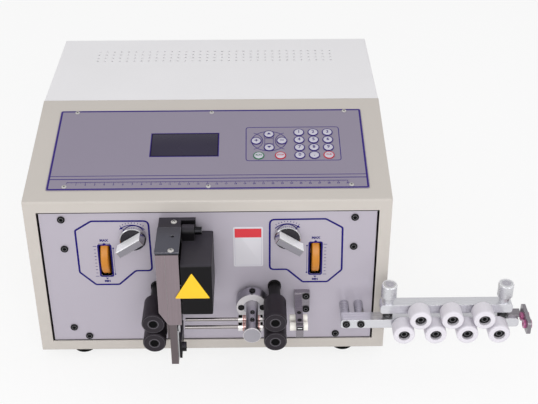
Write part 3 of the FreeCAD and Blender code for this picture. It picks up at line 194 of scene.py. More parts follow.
# %% [markdown]
# ## Shader groups
# Real finishes share a few effects: a fine grain, faint patches, lines left by a brush or a lathe,
# a knurl, and edges that catch the light because nothing is truly sharp. Faces that look up are
# made paler, which paints the light from above. Each effect is one node group with named inputs, so
# that every material can use it with its own values.

# %% Tools for node groups


def new_group(name, inputs, outputs):
    """A shader group with the sockets given as {name: (type, value)} and {name: type}."""
    group = bpy.data.node_groups.new(name, "ShaderNodeTree")
    for label, (kind, value) in inputs.items():
        socket = group.interface.new_socket(label, in_out="INPUT", socket_type=kind)
        if value is not None:
            socket.default_value = value
    for label, kind in outputs.items():
        group.interface.new_socket(label, in_out="OUTPUT", socket_type=kind)
    start = group.nodes.new("NodeGroupInput")
    end = group.nodes.new("NodeGroupOutput")
    return group, start, end


def add(tree, kind, settings=(), values=(), links=()):
    """Add a node, set its options and plain input values, and join outputs to its inputs."""
    made = tree.nodes.new(kind)
    for label, value in dict(settings).items():
        setattr(made, label, value)
    for label, value in dict(values).items():
        made.inputs[label].default_value = value
    for label, source in dict(links).items():
        tree.links.new(source, made.inputs[label])
    return made


def calc(tree, operation, values, links):
    """A Math node."""
    return add(tree, "ShaderNodeMath", {"operation": operation}, values, links)


def stain(group, start, end, noise, amount, rough_share):
    """Let a noise vary a group's colour, by the input named amount, and its roughness by a share."""
    centred = calc(group, "SUBTRACT", {1: 0.5}, {0: noise.outputs[0]})
    shift = calc(group, "MULTIPLY_ADD", {2: 1.0}, {0: centred.outputs[0], 1: start.outputs[amount]})
    tint = add(group, "ShaderNodeVectorMath", {"operation": "SCALE"}, {},
               {0: start.outputs["Colour"], "Scale": shift.outputs[0]})
    rough = calc(group, "MULTIPLY_ADD", {1: rough_share},
                 {0: centred.outputs[0], 2: start.outputs["Roughness"]})
    group.links.new(tint.outputs[0], end.inputs["Colour"])
    group.links.new(rough.outputs[0], end.inputs["Roughness"])


VALUE, COLOUR, VECTOR = "NodeSocketFloat", "NodeSocketColor", "NodeSocketVector"
print("node tools ready")

# %% Grain: cloudy patches and a fine bump
grain, start, end = new_group(
    "fine_grain",
    {"Vector": (VECTOR, None), "Colour": (COLOUR, (0.8, 0.8, 0.8, 1.0)), "Roughness": (VALUE, 0.5),
     "Grain Scale": (VALUE, 1500.0), "Patch Scale": (VALUE, 18.0), "Patches": (VALUE, 0.05)},
    {"Colour": COLOUR, "Roughness": VALUE, "Height": VALUE})
fine = add(grain, "ShaderNodeTexNoise", values={"Detail": 2.0},
           links={"Vector": start.outputs["Vector"], "Scale": start.outputs["Grain Scale"]})
cloud = add(grain, "ShaderNodeTexNoise", values={"Detail": 3.0, "Roughness": 0.55},
            links={"Vector": start.outputs["Vector"], "Scale": start.outputs["Patch Scale"]})
stain(grain, start, end, cloud, "Patches", 0.25)
grain.links.new(fine.outputs[0], end.inputs["Height"])
print("group", grain.name)

# %% Brushed lines: noise drawn out along one direction
brushed, start, end = new_group(
    "brushed_lines",
    {"Vector": (VECTOR, None), "Across": (VECTOR, (1.0, 1.0, 1.0)), "Colour": (COLOUR, (0.6, 0.6, 0.6, 1.0)),
     "Roughness": (VALUE, 0.3), "Contrast": (VALUE, 0.15)},
    {"Colour": COLOUR, "Roughness": VALUE, "Height": VALUE})
drawn = add(brushed, "ShaderNodeVectorMath", {"operation": "MULTIPLY"}, {},
            {0: start.outputs["Vector"], 1: start.outputs["Across"]})
lines = add(brushed, "ShaderNodeTexNoise", values={"Scale": 1.0, "Detail": 4.0, "Roughness": 0.65},
            links={"Vector": drawn.outputs[0]})
stain(brushed, start, end, lines, "Contrast", 0.3)
brushed.links.new(lines.outputs[0], end.inputs["Height"])
print("group", brushed.name)

# %% Soft edges: a rounded normal, and a mask of where it differs from the flat one
edges, start, end = new_group("soft_edges", {"Radius": (VALUE, 0.0004)}, {"Normal": VECTOR, "Edge": VALUE})
round_normal = add(edges, "ShaderNodeBevel", {"samples": 4}, {}, {"Radius": start.outputs["Radius"]})
flat = add(edges, "ShaderNodeNewGeometry")
alike = add(edges, "ShaderNodeVectorMath", {"operation": "DOT_PRODUCT"}, {},
            {0: round_normal.outputs[0], 1: flat.outputs["Normal"]})
edge_mask = add(edges, "ShaderNodeMapRange", values={"From Min": 0.98, "From Max": 0.75},
                links={"Value": alike.outputs["Value"]})
edges.links.new(round_normal.outputs[0], end.inputs["Normal"])
edges.links.new(edge_mask.outputs[0], end.inputs["Edge"])
print("group", edges.name)

# %% Painted top light: a paler colour on faces that look up, for the light from above
top_light_group, start, end = new_group(
    "painted_top_light", {"Colour": (COLOUR, (0.1, 0.1, 0.1, 1.0)), "Lit Colour": (COLOUR, (0.1, 0.1, 0.1, 1.0)),
                     "Amount": (VALUE, 0.5)}, {"Colour": COLOUR})
face_normal = add(top_light_group, "ShaderNodeNewGeometry")
own_normal = add(top_light_group, "ShaderNodeVectorTransform",
                 {"vector_type": "NORMAL", "convert_from": "WORLD", "convert_to": "OBJECT"}, {},
                 {0: face_normal.outputs["Normal"]})
upward = add(top_light_group, "ShaderNodeSeparateXYZ", links={0: own_normal.outputs[0]})
facing_up = add(top_light_group, "ShaderNodeMapRange", values={"From Min": 0.3, "From Max": 1.0},
                links={"Value": upward.outputs["Z"]})
cover = calc(top_light_group, "MULTIPLY", {}, {0: facing_up.outputs[0], 1: start.outputs["Amount"]})
lit_tops = add(top_light_group, "ShaderNodeMix", {"data_type": "RGBA"}, {},
               {0: cover.outputs[0], 6: start.outputs["Colour"], 7: start.outputs["Lit Colour"]})
top_light_group.links.new(lit_tops.outputs[2], end.inputs["Colour"])
print("group", top_light_group.name)

# %% Knurl: teeth counted round an axis
knurl, start, end = new_group(
    "round_knurl", {"Vector": (VECTOR, None), "Teeth": (VALUE, 60.0), "Pitch": (VALUE, 0.0)},
    {"Height": VALUE})
apart = add(knurl, "ShaderNodeSeparateXYZ", links={0: start.outputs["Vector"]})
angle = calc(knurl, "ARCTAN2", {}, {0: apart.outputs["Y"], 1: apart.outputs["X"]})
twist = calc(knurl, "MULTIPLY_ADD", {},
             {0: apart.outputs["Z"], 1: start.outputs["Pitch"], 2: angle.outputs[0]})
counted = calc(knurl, "MULTIPLY", {}, {0: twist.outputs[0], 1: start.outputs["Teeth"]})
wave = calc(knurl, "COSINE", {}, {0: counted.outputs[0]})
half = calc(knurl, "MULTIPLY_ADD", {1: 0.5, 2: 0.5}, {0: wave.outputs[0]})
knurl.links.new(half.outputs[0], end.inputs["Height"])
print("group", knurl.name)

# %% [markdown]
# ## Materials
# There are three kinds of finish on this machine. Coated and moulded surfaces have an even colour,
# a fine grain and faint patches. Machined metal has lines along the way the tool went. Turned metal
# has rings, or a knurl, round its own axis. One function makes each kind, and the edges of all
# three are softened by the same group.

# %% Coated and moulded surfaces


def start_material(name):
    """A new material, its node tree and its Principled shader."""
    material = bpy.data.materials.new(name)
    material.use_nodes = True
    tree = material.node_tree
    return material, tree, tree.nodes["Principled BSDF"]


def use(tree, group, values=(), links=()):
    """Place a shader group in a material."""
    made = tree.nodes.new("ShaderNodeGroup")
    made.node_tree = group
    for label, value in dict(values).items():
        made.inputs[label].default_value = value
    for label, source in dict(links).items():
        tree.links.new(source, made.inputs[label])
    return made


def connect_surface(tree, shader, pattern, depth, edge_radius, edge_colour, edge_share):
    """Bump, soft edges and a lighter or darker edge colour, partly wear and partly painted highlight, for any
    of the finishes.
    """
    eased = use(tree, edges, {"Radius": edge_radius * MM})
    share = calc(tree, "MULTIPLY", {1: edge_share}, {0: eased.outputs["Edge"]})
    edge_wear_and_highlight = add(tree, "ShaderNodeMix", {"data_type": "RGBA"}, {7: edge_colour},
               {0: share.outputs[0], 6: pattern.outputs["Colour"]})
    bump = add(tree, "ShaderNodeBump", values={"Strength": 1.0, "Distance": depth * MM},
               links={"Height": pattern.outputs["Height"], "Normal": eased.outputs["Normal"]})
    tree.links.new(edge_wear_and_highlight.outputs[2], shader.inputs["Base Color"])
    tree.links.new(pattern.outputs["Roughness"], shader.inputs["Roughness"])
    tree.links.new(bump.outputs[0], shader.inputs["Normal"])
    return edge_wear_and_highlight


def coated(name, colour, roughness=0.5, grain_size=0.7, depth=0.02, patches=0.06, edge=0.5,
           edge_colour=None, edge_share=0.35, coat=0.0, shine=0.5, lit_from_above=0.0):
    """Paint, powder coat or moulded plastic; sizes in millimetres, shine as the specular level."""
    material, tree, shader = start_material(name)
    place = add(tree, "ShaderNodeTexCoord")
    pattern = use(tree, grain, {"Colour": linear(*colour), "Roughness": roughness,
                                "Grain Scale": 1.0 / (grain_size * MM),
                                "Patch Scale": 16.0, "Patches": patches}, {"Vector": place.outputs["Object"]})
    lighter = edge_colour or tuple(min(1.0, c * 1.08 + 0.02) for c in colour)
    edge_wear_and_highlight = connect_surface(tree, shader, pattern, depth, edge, linear(*lighter), edge_share)
    # Faces that look up are made paler here: painted light from above.
    if lit_from_above:
        film = use(tree, top_light_group, {"Lit Colour": linear(0.30, 0.285, 0.32), "Amount": lit_from_above},
                   {"Colour": edge_wear_and_highlight.outputs[2]})
        tree.links.new(film.outputs["Colour"], shader.inputs["Base Color"])
    shader.inputs["Coat Weight"].default_value = coat
    shader.inputs["Specular IOR Level"].default_value = shine
    return material


case_paint = coated("case_paint", (0.775, 0.75, 0.725), 0.52, grain_size=0.8, depth=0.012, patches=0.05)
lid_paint = coated("lid_paint", (0.935, 0.93, 0.94), 0.5, grain_size=0.8, depth=0.012, patches=0.04)
rubber = coated("rubber", (0.045, 0.045, 0.045), 0.8, grain_size=0.5, depth=0.03, patches=0.3, shine=0.1)
overlay_film = coated("overlay_film", (0.545, 0.515, 0.585), 0.42, grain_size=0.35, depth=0.003, patches=0.06,
                      edge=0.2)
# The black paint is paler on faces that look up, a painted top light.
black_metal = coated("black_metal", (0.065, 0.06, 0.07), 0.36, grain_size=0.9, depth=0.008, patches=0.3,
                     edge=0.8, edge_colour=(0.26, 0.26, 0.27), edge_share=0.6, shine=0.14, lit_from_above=0.55)
orange_plastic = coated("orange_plastic", (0.79, 0.50, 0.105), 0.35, grain_size=1.2, depth=0.01, patches=0.12)
white_plastic = coated("white_plastic", (0.875, 0.86, 0.89), 0.45, grain_size=1.0, depth=0.006, patches=0.04,
                       edge=0.7)
liner_cream = coated("liner_cream", (0.99, 0.975, 0.945), 0.45, grain_size=1.0, depth=0.006, patches=0.04,
                     edge=0.7)
motor_black = coated("motor_black", (0.13, 0.13, 0.135), 0.45, grain_size=0.8, depth=0.02, patches=0.2,
                     shine=0.3)
eyelet_pink = coated("eyelet_pink", (0.68, 0.33, 0.52), 0.25, grain_size=1.5, depth=0.004, patches=0.1,
                     coat=0.5)
black_plastic = coated("black_plastic", (0.08, 0.08, 0.085), 0.45, grain_size=0.6, depth=0.012, patches=0.2,
                       shine=0.25)
print("coated finishes made")

# %% Machined metal


def machined(name, colour, roughness=0.3, along="X", line=0.25, length=40.0, depth=0.004, contrast=0.25,
             edge=0.4, edge_colour=(0.95, 0.95, 0.95), edge_share=0.5, metallic=1.0):
    """Metal with lines along one direction; line and length are the width and length of one mark."""
    material, tree, shader = start_material(name)
    place = add(tree, "ShaderNodeTexCoord")
    across = [1.0 / (line * MM)] * 3
    across["XYZ".index(along)] = 1.0 / (length * MM)
    pattern = use(tree, brushed, {"Across": across, "Colour": linear(*colour), "Roughness": roughness,
                                  "Contrast": contrast}, {"Vector": place.outputs["Object"]})
    connect_surface(tree, shader, pattern, depth, edge, linear(*edge_colour), edge_share)
    shader.inputs["Metallic"].default_value = metallic
    return material


panel_metal = machined("panel_metal", (0.715, 0.69, 0.735), 0.42, "X", 0.25, 30.0, 0.002, 0.12, metallic=0.25,
                       edge_colour=(0.85, 0.84, 0.87))
plate_metal = machined("plate_metal", (0.62, 0.62, 0.64), 0.45, "X", 0.4, 25.0, 0.006, 0.25, metallic=0.8)
column_steel = machined("column_steel", (0.54, 0.49, 0.51), 0.36, "Z", 0.45, 60.0, 0.004, 0.5, metallic=0.6)
holder_steel = machined("holder_steel", (0.41, 0.375, 0.385), 0.34, "Z", 0.3, 40.0, 0.004, 0.4, metallic=0.7)
steel = machined("steel", (0.55, 0.53, 0.555), 0.30, "X", 0.3, 30.0, 0.004, 0.3, metallic=0.85)
bar_metal = machined("bar_metal", (0.84, 0.84, 0.86), 0.24, "X", 0.25, 50.0, 0.002, 0.12, metallic=0.8)
slide_steel = machined("slide_steel", (0.20, 0.19, 0.20), 0.45, "Z", 0.3, 20.0, 0.004, 0.3, metallic=0.6)
cap_metal = machined("cap_metal", (0.33, 0.33, 0.37), 0.32, "X", 0.25, 30.0, 0.003, 0.25, metallic=0.8)
blade_steel = machined("blade_steel", (0.70, 0.70, 0.71), 0.2, "Z", 0.2, 30.0, 0.002, 0.2)
tube_steel = machined("tube_steel", (0.54, 0.52, 0.52), 0.22, "X", 0.3, 40.0, 0.002, 0.2)
print("machined finishes made")

# %% [markdown]
# ## Turned metal
# A lathe leaves rings round the axis of a part, and a knurling tool presses teeth round it. Both
# need to know where the axis is. A Mapping node moves the pattern's middle to the axis and turns
# it, so that the group can always count round its own Z.

# %% Turned and knurled metal


def about_axis(tree, centre, direction):
    """Coordinates whose Z runs along the axis of a round part."""
    place = add(tree, "ShaderNodeTexCoord")
    moved = add(tree, "ShaderNodeVectorMath", {"operation": "SUBTRACT"}, {1: centre},
                {0: place.outputs["Object"]})
    turn = {"X": (0.0, -math.pi / 2, 0.0), "Y": (math.pi / 2, 0.0, 0.0), "Z": (0.0, 0.0, 0.0)}[direction]
    return add(tree, "ShaderNodeMapping", {"vector_type": "POINT"}, {"Rotation": turn},
               {"Vector": moved.outputs[0]})


def turned_metal(name, colour, centre, direction, roughness=0.25, teeth=0, pitch=0.0, depth=0.1, metallic=1.0,
                 contrast=0.2, edge=0.4, edge_colour=(0.9, 0.9, 0.9), edge_share=0.5, shine=0.5):
    """Metal round an axis; teeth is the count of a knurl, or none for plain lathe rings."""
    material, tree, shader = start_material(name)
    axis = about_axis(tree, centre, direction)
    pattern = use(tree, brushed, {"Across": (60.0, 60.0, 2500.0), "Colour": linear(*colour),
                                  "Roughness": roughness, "Contrast": contrast},
                  {"Vector": axis.outputs[0]})
    connect_surface(tree, shader, pattern, 0.003, edge, linear(*edge_colour), edge_share)
    shader.inputs["Metallic"].default_value = metallic
    shader.inputs["Specular IOR Level"].default_value = shine
    if teeth:
        ridges = use(tree, knurl, {"Teeth": teeth, "Pitch": pitch}, {"Vector": axis.outputs[0]})
        under = shader.inputs["Normal"].links[0].from_socket
        bump = add(tree, "ShaderNodeBump", values={"Strength": 0.8, "Distance": depth * MM},
                   links={"Height": ridges.outputs[0], "Normal": under})
        tree.links.new(bump.outputs[0], shader.inputs["Normal"])
    return material


def middle_of(node):
    """The middle of a solid's box."""
    low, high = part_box(node)
    return (low + high) / 2


print("turned finish ready")

# %% [markdown]
# ## Finishes of the solids
# Most solids take one finish as it is, so a table that pairs each solid with its finish is the
# plainest way to hand them out. Idlers, screws and round parts follow in loops.

# %% Materials on the solids
PLAIN = {
    "case_shell": case_paint, "back_panel": case_paint, "case_lid": lid_paint, "rubber_feet": rubber,
    "front_panel": panel_metal, "mount_plate": plate_metal, "console_overlay": overlay_film,
    "feed_motors": motor_black, "head_block": black_metal, "head_column": column_steel,
    "cap_plate": cap_metal, "inlet_block": steel, "inlet_liners": liner_cream,
    "straightener_lower_bar": bar_metal, "straightener_upper_bar": bar_metal, "guide_plate": steel,
    "guide_eyelets": eyelet_pink, "power_inlet": black_plastic, "power_rocker": black_plastic,
    "blade_guard": black_metal, "upper_holder": holder_steel, "lower_holder": holder_steel,
    "upper_blade": blade_steel, "lower_blade": blade_steel, "upper_clamp": black_metal,
    "lower_clamp": black_metal, "conduit_tubes": tube_steel, "press_slide_left": slide_steel,
    "press_slide_right": slide_steel, "thumb_wheel_left": orange_plastic, "thumb_wheel_right": orange_plastic,
}


def clothe(node, material):
    """Give a solid its finish."""
    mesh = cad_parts[node].data
    mesh.materials.clear()
    mesh.materials.append(material)


for node, material in PLAIN.items():
    clothe(node, material)
print(len(PLAIN), "solids have a finish")

# %% [markdown]
# ## Round parts
# Each feed roller, shaft, knob and thumb screw gets a finish that is centred on its own axis. The
# rollers are steel blackened in a salt bath, with a fine straight knurl that grips the wire.

# %% Finishes of the round parts
CHARCOAL = (0.165, 0.145, 0.17)
SHAFT_BLACK = (0.10, 0.095, 0.10)
for side in ("left", "right"):
    for level in ("lower", "upper"):
        for part in ("roller", "shaft"):
            node = "%s_%s_%s" % (level, part, side)
            teeth = 72 if part == "roller" else 0
            colour = CHARCOAL if part == "roller" else SHAFT_BLACK
            clothe(node, turned_metal(node + "_black", colour, middle_of(node), "Y", 0.42, teeth, depth=0.12,
                                      metallic=0.2, edge_colour=(0.36, 0.36, 0.37), shine=0.2))
    knob = "lift_knob_" + side
    clothe(knob, turned_metal(knob + "_chrome", (0.80, 0.80, 0.81), middle_of(knob), "Y", 0.16,
                              contrast=0.12))
    thumb = "thumb_screw_" + side
    clothe(thumb, turned_metal(thumb + "_knurled", (0.84, 0.84, 0.855), middle_of(thumb), "Z", 0.25, 60,
                               depth=0.12))

for node, colour, direction, roughness in (
        ("conduit_hub", (0.66, 0.65, 0.68), "Y", 0.33), ("conduit_nuts", (0.86, 0.80, 0.80), "X", 0.3),
        ("straightener_posts", (0.73, 0.73, 0.75), "Y", 0.26), ("hinge_pin", (0.16, 0.16, 0.17), "X", 0.35),
        ("cap_screws", (0.82, 0.81, 0.80), "Z", 0.2), ("straightener_springs", (0.5, 0.5, 0.52), "Z", 0.3)):
    clothe(node, turned_metal(node + "_turned", colour, middle_of(node), direction, roughness))
for node in ("socket_screws", "lower_axle_screws", "upper_axle_screws"):
    clothe(node, turned_metal(node + "_black", (0.07, 0.065, 0.07), middle_of(node), "Y", 0.4, metallic=0.2,
                              edge_colour=(0.35, 0.35, 0.36), shine=0.2))
for node in [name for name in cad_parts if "_idler_" in name]:
    clothe(node, white_plastic)
bare = [name for name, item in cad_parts.items() if len(item.data.materials) != 1]
print("solids still without a finish:", bare)

# %% [markdown]
# ## Hands at the bench
# New pieces are shaped the way one would by hand: add a simple shape, go into edit mode, extrude,
# inset and bevel it, then leave edit mode and finish with a modifier. A few short helpers hold the
# moves that repeat. Each works in millimetres in a flat frame of its own, and the finished piece is
# then laid on the machine with one matrix, so that its place ends up in its mesh.

# %% Helpers for outlines


def only(*pieces):
    """Leave nothing selected but these pieces, the first of them active."""
    if bpy.context.object and bpy.context.object.mode != "OBJECT":
        bpy.ops.object.mode_set(mode="OBJECT")
    bpy.ops.object.select_all(action="DESELECT")
    for piece in pieces:
        piece.select_set(True)
    if pieces:
        bpy.context.view_layer.objects.active = pieces[0]


def arc(x, y, radius, start, stop, steps=6, flat=1.0):
    """Points on a round or, with flat under one, an oval stretch; angles in degrees."""
    angles = [math.radians(start + (stop - start) * step / steps) for step in range(steps + 1)]
    return [(x + radius * math.cos(angle), y + radius * flat * math.sin(angle)) for angle in angles]


def rounded(corners, radius, steps=4):
    """The same outline with each corner made a short curve; radius is one reach, or one for each corner."""
    reaches = [radius] * len(corners) if isinstance(radius, (int, float)) else radius
    points = []
    for index, corner in enumerate(corners):
        here = Vector(corner)
        before = (Vector(corners[index - 1]) - here).normalized() * reaches[index]
        after = (Vector(corners[(index + 1) % len(corners)]) - here).normalized() * reaches[index]
        for step in range(steps + 1):
            share = step / steps
            points.append(tuple(here + before * (1 - share) ** 2 + after * share ** 2))
    return points


def box_outline(left, low, right, high):
    """The corners of a rectangle, from the lower left one."""
    return [(left, low), (right, low), (right, high), (left, high)]


def stroke(points, width):
    """Outline of a pen line of one width that follows the points."""
    left, right = [], []
    for index, point in enumerate(points):
        ahead = Vector(points[min(index + 1, len(points) - 1)])
        behind = Vector(points[max(index - 1, 0)])
        run = (ahead - behind).normalized() * width / 2
        left.append((point[0] - run.y, point[1] + run.x))
        right.append((point[0] + run.y, point[1] - run.x))
    return left + right[::-1]


print("a stroke of three points has", len(stroke([(0, 0), (1, 0), (2, 1)], 0.2)), "corners")

# %% Helpers for solids
SMOOTH_BELOW = math.radians(35)
LETTER_SIZE = 1.38


def flat_face(corners, height):
    """One flat face, left selected in edit mode."""
    only()
    bpy.ops.mesh.primitive_circle_add(vertices=len(corners), radius=1.0, fill_type="NGON")
    piece = bpy.context.object
    for vertex, (x, y) in zip(piece.data.vertices, corners):
        vertex.co = (x * MM, y * MM, height * MM)
    bpy.ops.object.mode_set(mode="EDIT")
    bpy.ops.mesh.select_all(action="SELECT")
    return piece


def raise_face(height):
    """Extrude what is selected, turn all faces outwards and leave edit mode."""
    bpy.ops.mesh.extrude_region_move(TRANSFORM_OT_translate={"value": (0.0, 0.0, height * MM)})
    bpy.ops.mesh.select_all(action="SELECT")
    bpy.ops.mesh.normals_make_consistent(inside=False)
    bpy.ops.object.mode_set(mode="OBJECT")


def soften(piece, width, segments=2, angle=40.0):
    """A bevel along the sharp edges, applied."""
    only(piece)
    bevel = piece.modifiers.new("soft_edges", "BEVEL")
    bevel.width = width * MM
    bevel.segments = segments
    bevel.limit_method = "ANGLE"
    bevel.angle_limit = math.radians(angle)
    bpy.ops.object.modifier_apply(modifier=bevel.name)
    return piece


def slab(corners, low, high, bevel=0.0, segments=2):
    """A plate with the given outline between two heights."""
    piece = flat_face(corners, low)
    raise_face(high - low)
    return soften(piece, bevel, segments) if bevel else piece


def frame_line(corners, width, low, high):
    """A closed line round the inside of an outline."""
    piece = flat_face(corners, low)
    bpy.ops.mesh.inset(thickness=width * MM)
    bpy.ops.mesh.delete(type="FACE")
    bpy.ops.mesh.select_all(action="SELECT")
    raise_face(high - low)
    return piece


def turned(rings, sides=40):
    """A closed round piece on its own axis, from (height, radius) rings, starting at the low end."""
    height, radius = rings[0]
    only()
    bpy.ops.mesh.primitive_circle_add(vertices=sides, radius=radius * MM, fill_type="NGON")
    piece = bpy.context.object
    bpy.ops.object.mode_set(mode="EDIT")
    bpy.ops.mesh.select_all(action="SELECT")
    bpy.ops.transform.translate(value=(0.0, 0.0, height * MM))
    for next_height, next_radius in rings[1:]:
        rise = (next_height - height) * MM
        bpy.ops.mesh.extrude_region_move(TRANSFORM_OT_translate={"value": (0.0, 0.0, rise)})
        size = next_radius / radius
        bpy.ops.transform.resize(value=(size, size, 1.0), center_override=(0.0, 0.0, next_height * MM))
        height, radius = next_height, next_radius
    bpy.ops.mesh.select_all(action="SELECT")
    bpy.ops.mesh.normals_make_consistent(inside=False)
    bpy.ops.object.mode_set(mode="OBJECT")
    return piece


def joined(pieces):
    """Several pieces as one object."""
    only(*pieces)
    if len(pieces) > 1:
        bpy.ops.object.join()
    return bpy.context.object


def moved(piece, x, y, z=0.0):
    """Shift a piece in its own flat frame."""
    piece.data.transform(Matrix.Translation(Vector((x, y, z)) * MM))
    return piece


def spun(place, degrees):
    """The same place, turned round its own Z."""
    return place @ Matrix.Rotation(math.radians(degrees), 4, "Z")


def copy_of(piece):
    """A copy with a mesh of its own."""
    twin = piece.copy()
    twin.data = piece.data.copy()
    bpy.context.scene.collection.objects.link(twin)
    return twin


def row_of(pattern, places):
    """Copies of one piece, one laid at each place, as one object; the pattern itself goes."""
    copies = []
    for place in places:
        twin = copy_of(pattern)
        twin.data.transform(place)
        copies.append(twin)
    bpy.data.objects.remove(pattern)
    return joined(copies)


def crossed_bars(reach, half, low, high):
    """Two bars that cross, for the painted shade in the recess of a screw."""
    return joined([slab(box_outline(-reach, -half, reach, half), low, high),
                   slab(box_outline(-half, -reach, half, reach), low, high)])


def lettering(words, height, thick=0.12, bold=0.0):
    """Raised letters in the middle of their own frame."""
    only()
    bpy.ops.object.text_add()
    text = bpy.context.object
    text.data.body = words
    text.data.align_x = "CENTER"
    text.data.align_y = "CENTER"
    text.data.size = height * MM * LETTER_SIZE
    text.data.offset = bold * MM
    text.data.extrude = thick / 2 * MM
    text.data.resolution_u = 3
    bpy.ops.object.convert(target="MESH")
    return bpy.context.object


def dress(piece, name, material, body, place=None):
    """Lay a finished piece in place, name it, give it its finish and let it ride on a body."""
    if place is not None:
        piece.data.transform(place)
    piece.name = name
    piece.data.name = name
    piece.data.materials.clear()
    piece.data.materials.append(material)
    only(piece)
    bpy.ops.object.shade_smooth_by_angle(angle=SMOOTH_BELOW)
    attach(piece, body)
    return piece


print("helpers ready")

# %% Frames to lay pieces on
FRONT_HEIGHT = 200.0
CASE_HEIGHT = 234.0
SLOPE_DEPTH = 169.0
PANEL_FACE = 2.0
FILM = 0.8
slope = math.atan2(CASE_HEIGHT - FRONT_HEIGHT, SLOPE_DEPTH)
FACING = {"up": Matrix.Identity(4), "right": Matrix.Rotation(math.pi / 2, 4, "Y"),
          "front": Matrix.Rotation(math.pi / 2, 4, "X"), "back": Matrix.Rotation(-math.pi / 2, 4, "X")}


def facing(way, x, y, z):
    """A matrix that takes a piece's own Z to a direction, and its origin to a place on the machine."""
    return Matrix.Translation(spot(x, y, z)) @ FACING[way]


on_panel = facing("front", 0, PANEL_FACE, 0)
on_console = Matrix.Translation(spot(0, 0, FRONT_HEIGHT)) @ Matrix.Rotation(slope, 4, "X")
print("the console slopes by", round(math.degrees(slope), 1), "degrees")

# %% [markdown]
# ## The console film
# The sloping console carries a printed film: a border, a keypad, a display window and a 30 cm rule
# for measuring wire. Ink has almost no thickness, so each print is a very thin plate that is sunk a
# little into the film. Outlines come from an inset of a flat face, which gives a line of even width
# round any shape. Each row of ticks on the rule is one small bar with an Array modifier.

# %% Inks
INK = 0.06
SUNK = -0.05


def ink(name, colour):
    """A matt printing ink."""
    return coated(name, colour, 0.6, grain_size=0.3, depth=0.002, patches=0.08, edge=0.05, shine=0.2)


blue_ink = ink("blue_ink", (0.20, 0.13, 0.46))
panel_ink = ink("panel_ink", (0.09, 0.03, 0.42))
green_ink = ink("green_ink", (0.16, 0.45, 0.30))
red_ink = ink("red_ink", (0.75, 0.13, 0.20))
film_top = FILM + SUNK
ink_top = FILM + INK


def printed(corners):
    """A flat print on the film."""
    return slab(corners, film_top, ink_top)


print("four inks")

# %% Border, double line and rule
BORDER_HALF = 171.6
BORDER_NEAR = 17.7
BORDER_FAR = 151.3
prints = [frame_line(rounded(box_outline(-BORDER_HALF, BORDER_NEAR, BORDER_HALF, BORDER_FAR), 2.5), 2.0,
                     film_top, ink_top)]
for height, width in ((34.5, 1.1), (39.5, 0.8)):
    prints.append(printed(box_outline(-169.7, height - width / 2, 169.7, height + width / 2)))
RULE_LEFT = -151.0
RULE_LENGTH = 301
RULE_LINE = 29.6
prints.append(printed(box_outline(RULE_LEFT, RULE_LINE, RULE_LEFT + RULE_LENGTH, RULE_LINE + 0.5)))


def ticks(length, width, count, pitch):
    """A row of short bars down from the line of the rule."""
    row = printed(box_outline(RULE_LEFT, RULE_LINE - length, RULE_LEFT + width, RULE_LINE))
    only(row)
    array = row.modifiers.new("row", "ARRAY")
    array.use_relative_offset = False
    array.use_constant_offset = True
    array.constant_offset_displace = (pitch * MM, 0.0, 0.0)
    array.count = count
    bpy.ops.object.modifier_apply(modifier=array.name)
    return row


prints += [ticks(1.2, 0.22, 301, 1.0), ticks(1.9, 0.3, 61, 5.0), ticks(2.6, 0.4, 31, 10.0)]
for number in range(1, 31):
    figure = lettering(str(number), 2.3, INK - SUNK, 0.06)
    prints.append(moved(figure, RULE_LEFT + number * 10 + 0.2, 25.6, (film_top + ink_top) / 2))
print(len(prints), "prints on the border and the rule")

# %% Keypad outline, cursor ring and its dividers
KEYPAD = (40.0, 62.0, 145.0, 120.0)
RING_X, RING_S, RING_HALF, RING_FLAT = 66.0, 95.5, 19.8, 0.86
prints.append(frame_line(rounded(box_outline(*KEYPAD), 4.0), 0.9, film_top, ink_top))
prints.append(frame_line(arc(RING_X, RING_S, RING_HALF, 0, 351, 39, RING_FLAT), 0.8, film_top, ink_top))
for side in (-1, 1):
    turn = 0 if side > 0 else 180
    bow = arc(RING_X + side * 21.5, RING_S, 14.6, 180 + turn - 72, 180 + turn + 72, 14)
    prints.append(printed(stroke(bow, 0.7)))
ring_key = box_outline(RING_X - 5, RING_S - 4.4, RING_X + 5, RING_S + 4.4)
prints.append(frame_line(ring_key, 0.5, film_top, ink_top))
for side in (-1, 1):
    for edge_x in (-5.4, 5.4):
        legs = [(RING_X + edge_x * 1.0, RING_S + side * 4.6), (RING_X + edge_x * 0.9, RING_S + side * 7.5)]
        prints.append(printed(stroke(legs, 0.5)))
WINDOW = (-64.9, 71.0, 9.5, 109.5)
window_edge = box_outline(WINDOW[0] - 1, WINDOW[1] - 1, WINDOW[2] + 1, WINDOW[3] + 1)
prints.append(frame_line(window_edge, 1.0, film_top, ink_top))
dress(joined(prints), "console_prints", blue_ink, "machine", on_console)
print("console printed")

# %% [markdown]
# ## Keys
# Each key is a low dome pressed into the film, silvery on top, inside a printed ring. The dome is a
# disc that is extruded ring by ring, each one a little smaller. It is made once and copied.

# %% Keys
key_silver = coated("key_silver", (0.76, 0.75, 0.80), 0.32, grain_size=0.6, depth=0.003, patches=0.08)
DIGIT_COLUMNS = (99.6, 115.6, 131.6)
DIGIT_ROWS = (109.7, 96.7, 83.7, 70.7)
KEY_FOOT = FILM
dome = turned([(0.0, 5.0), (0.85, 5.0), (1.15, 4.4), (1.35, 3.2), (1.42, 0.4)], 32)
collar = frame_line(arc(0, 0, 6.0, 0, 348.75, 31), 1.0, 0.0, 0.78)
digit_spots = [(x, s) for s in DIGIT_ROWS for x in DIGIT_COLUMNS]
cursor_spots = [(RING_X - 14.3, RING_S), (RING_X + 14.3, RING_S), (RING_X, RING_S + 11.4),
                (RING_X, RING_S - 11.4)]
run_spot, stop_spot = (54.4, 70.5), (78.3, 70.5)
stop_spots = [digit_spots[-1], stop_spot]
plain_spots = digit_spots[:-1] + cursor_spots
key_spots = plain_spots + stop_spots + [run_spot]
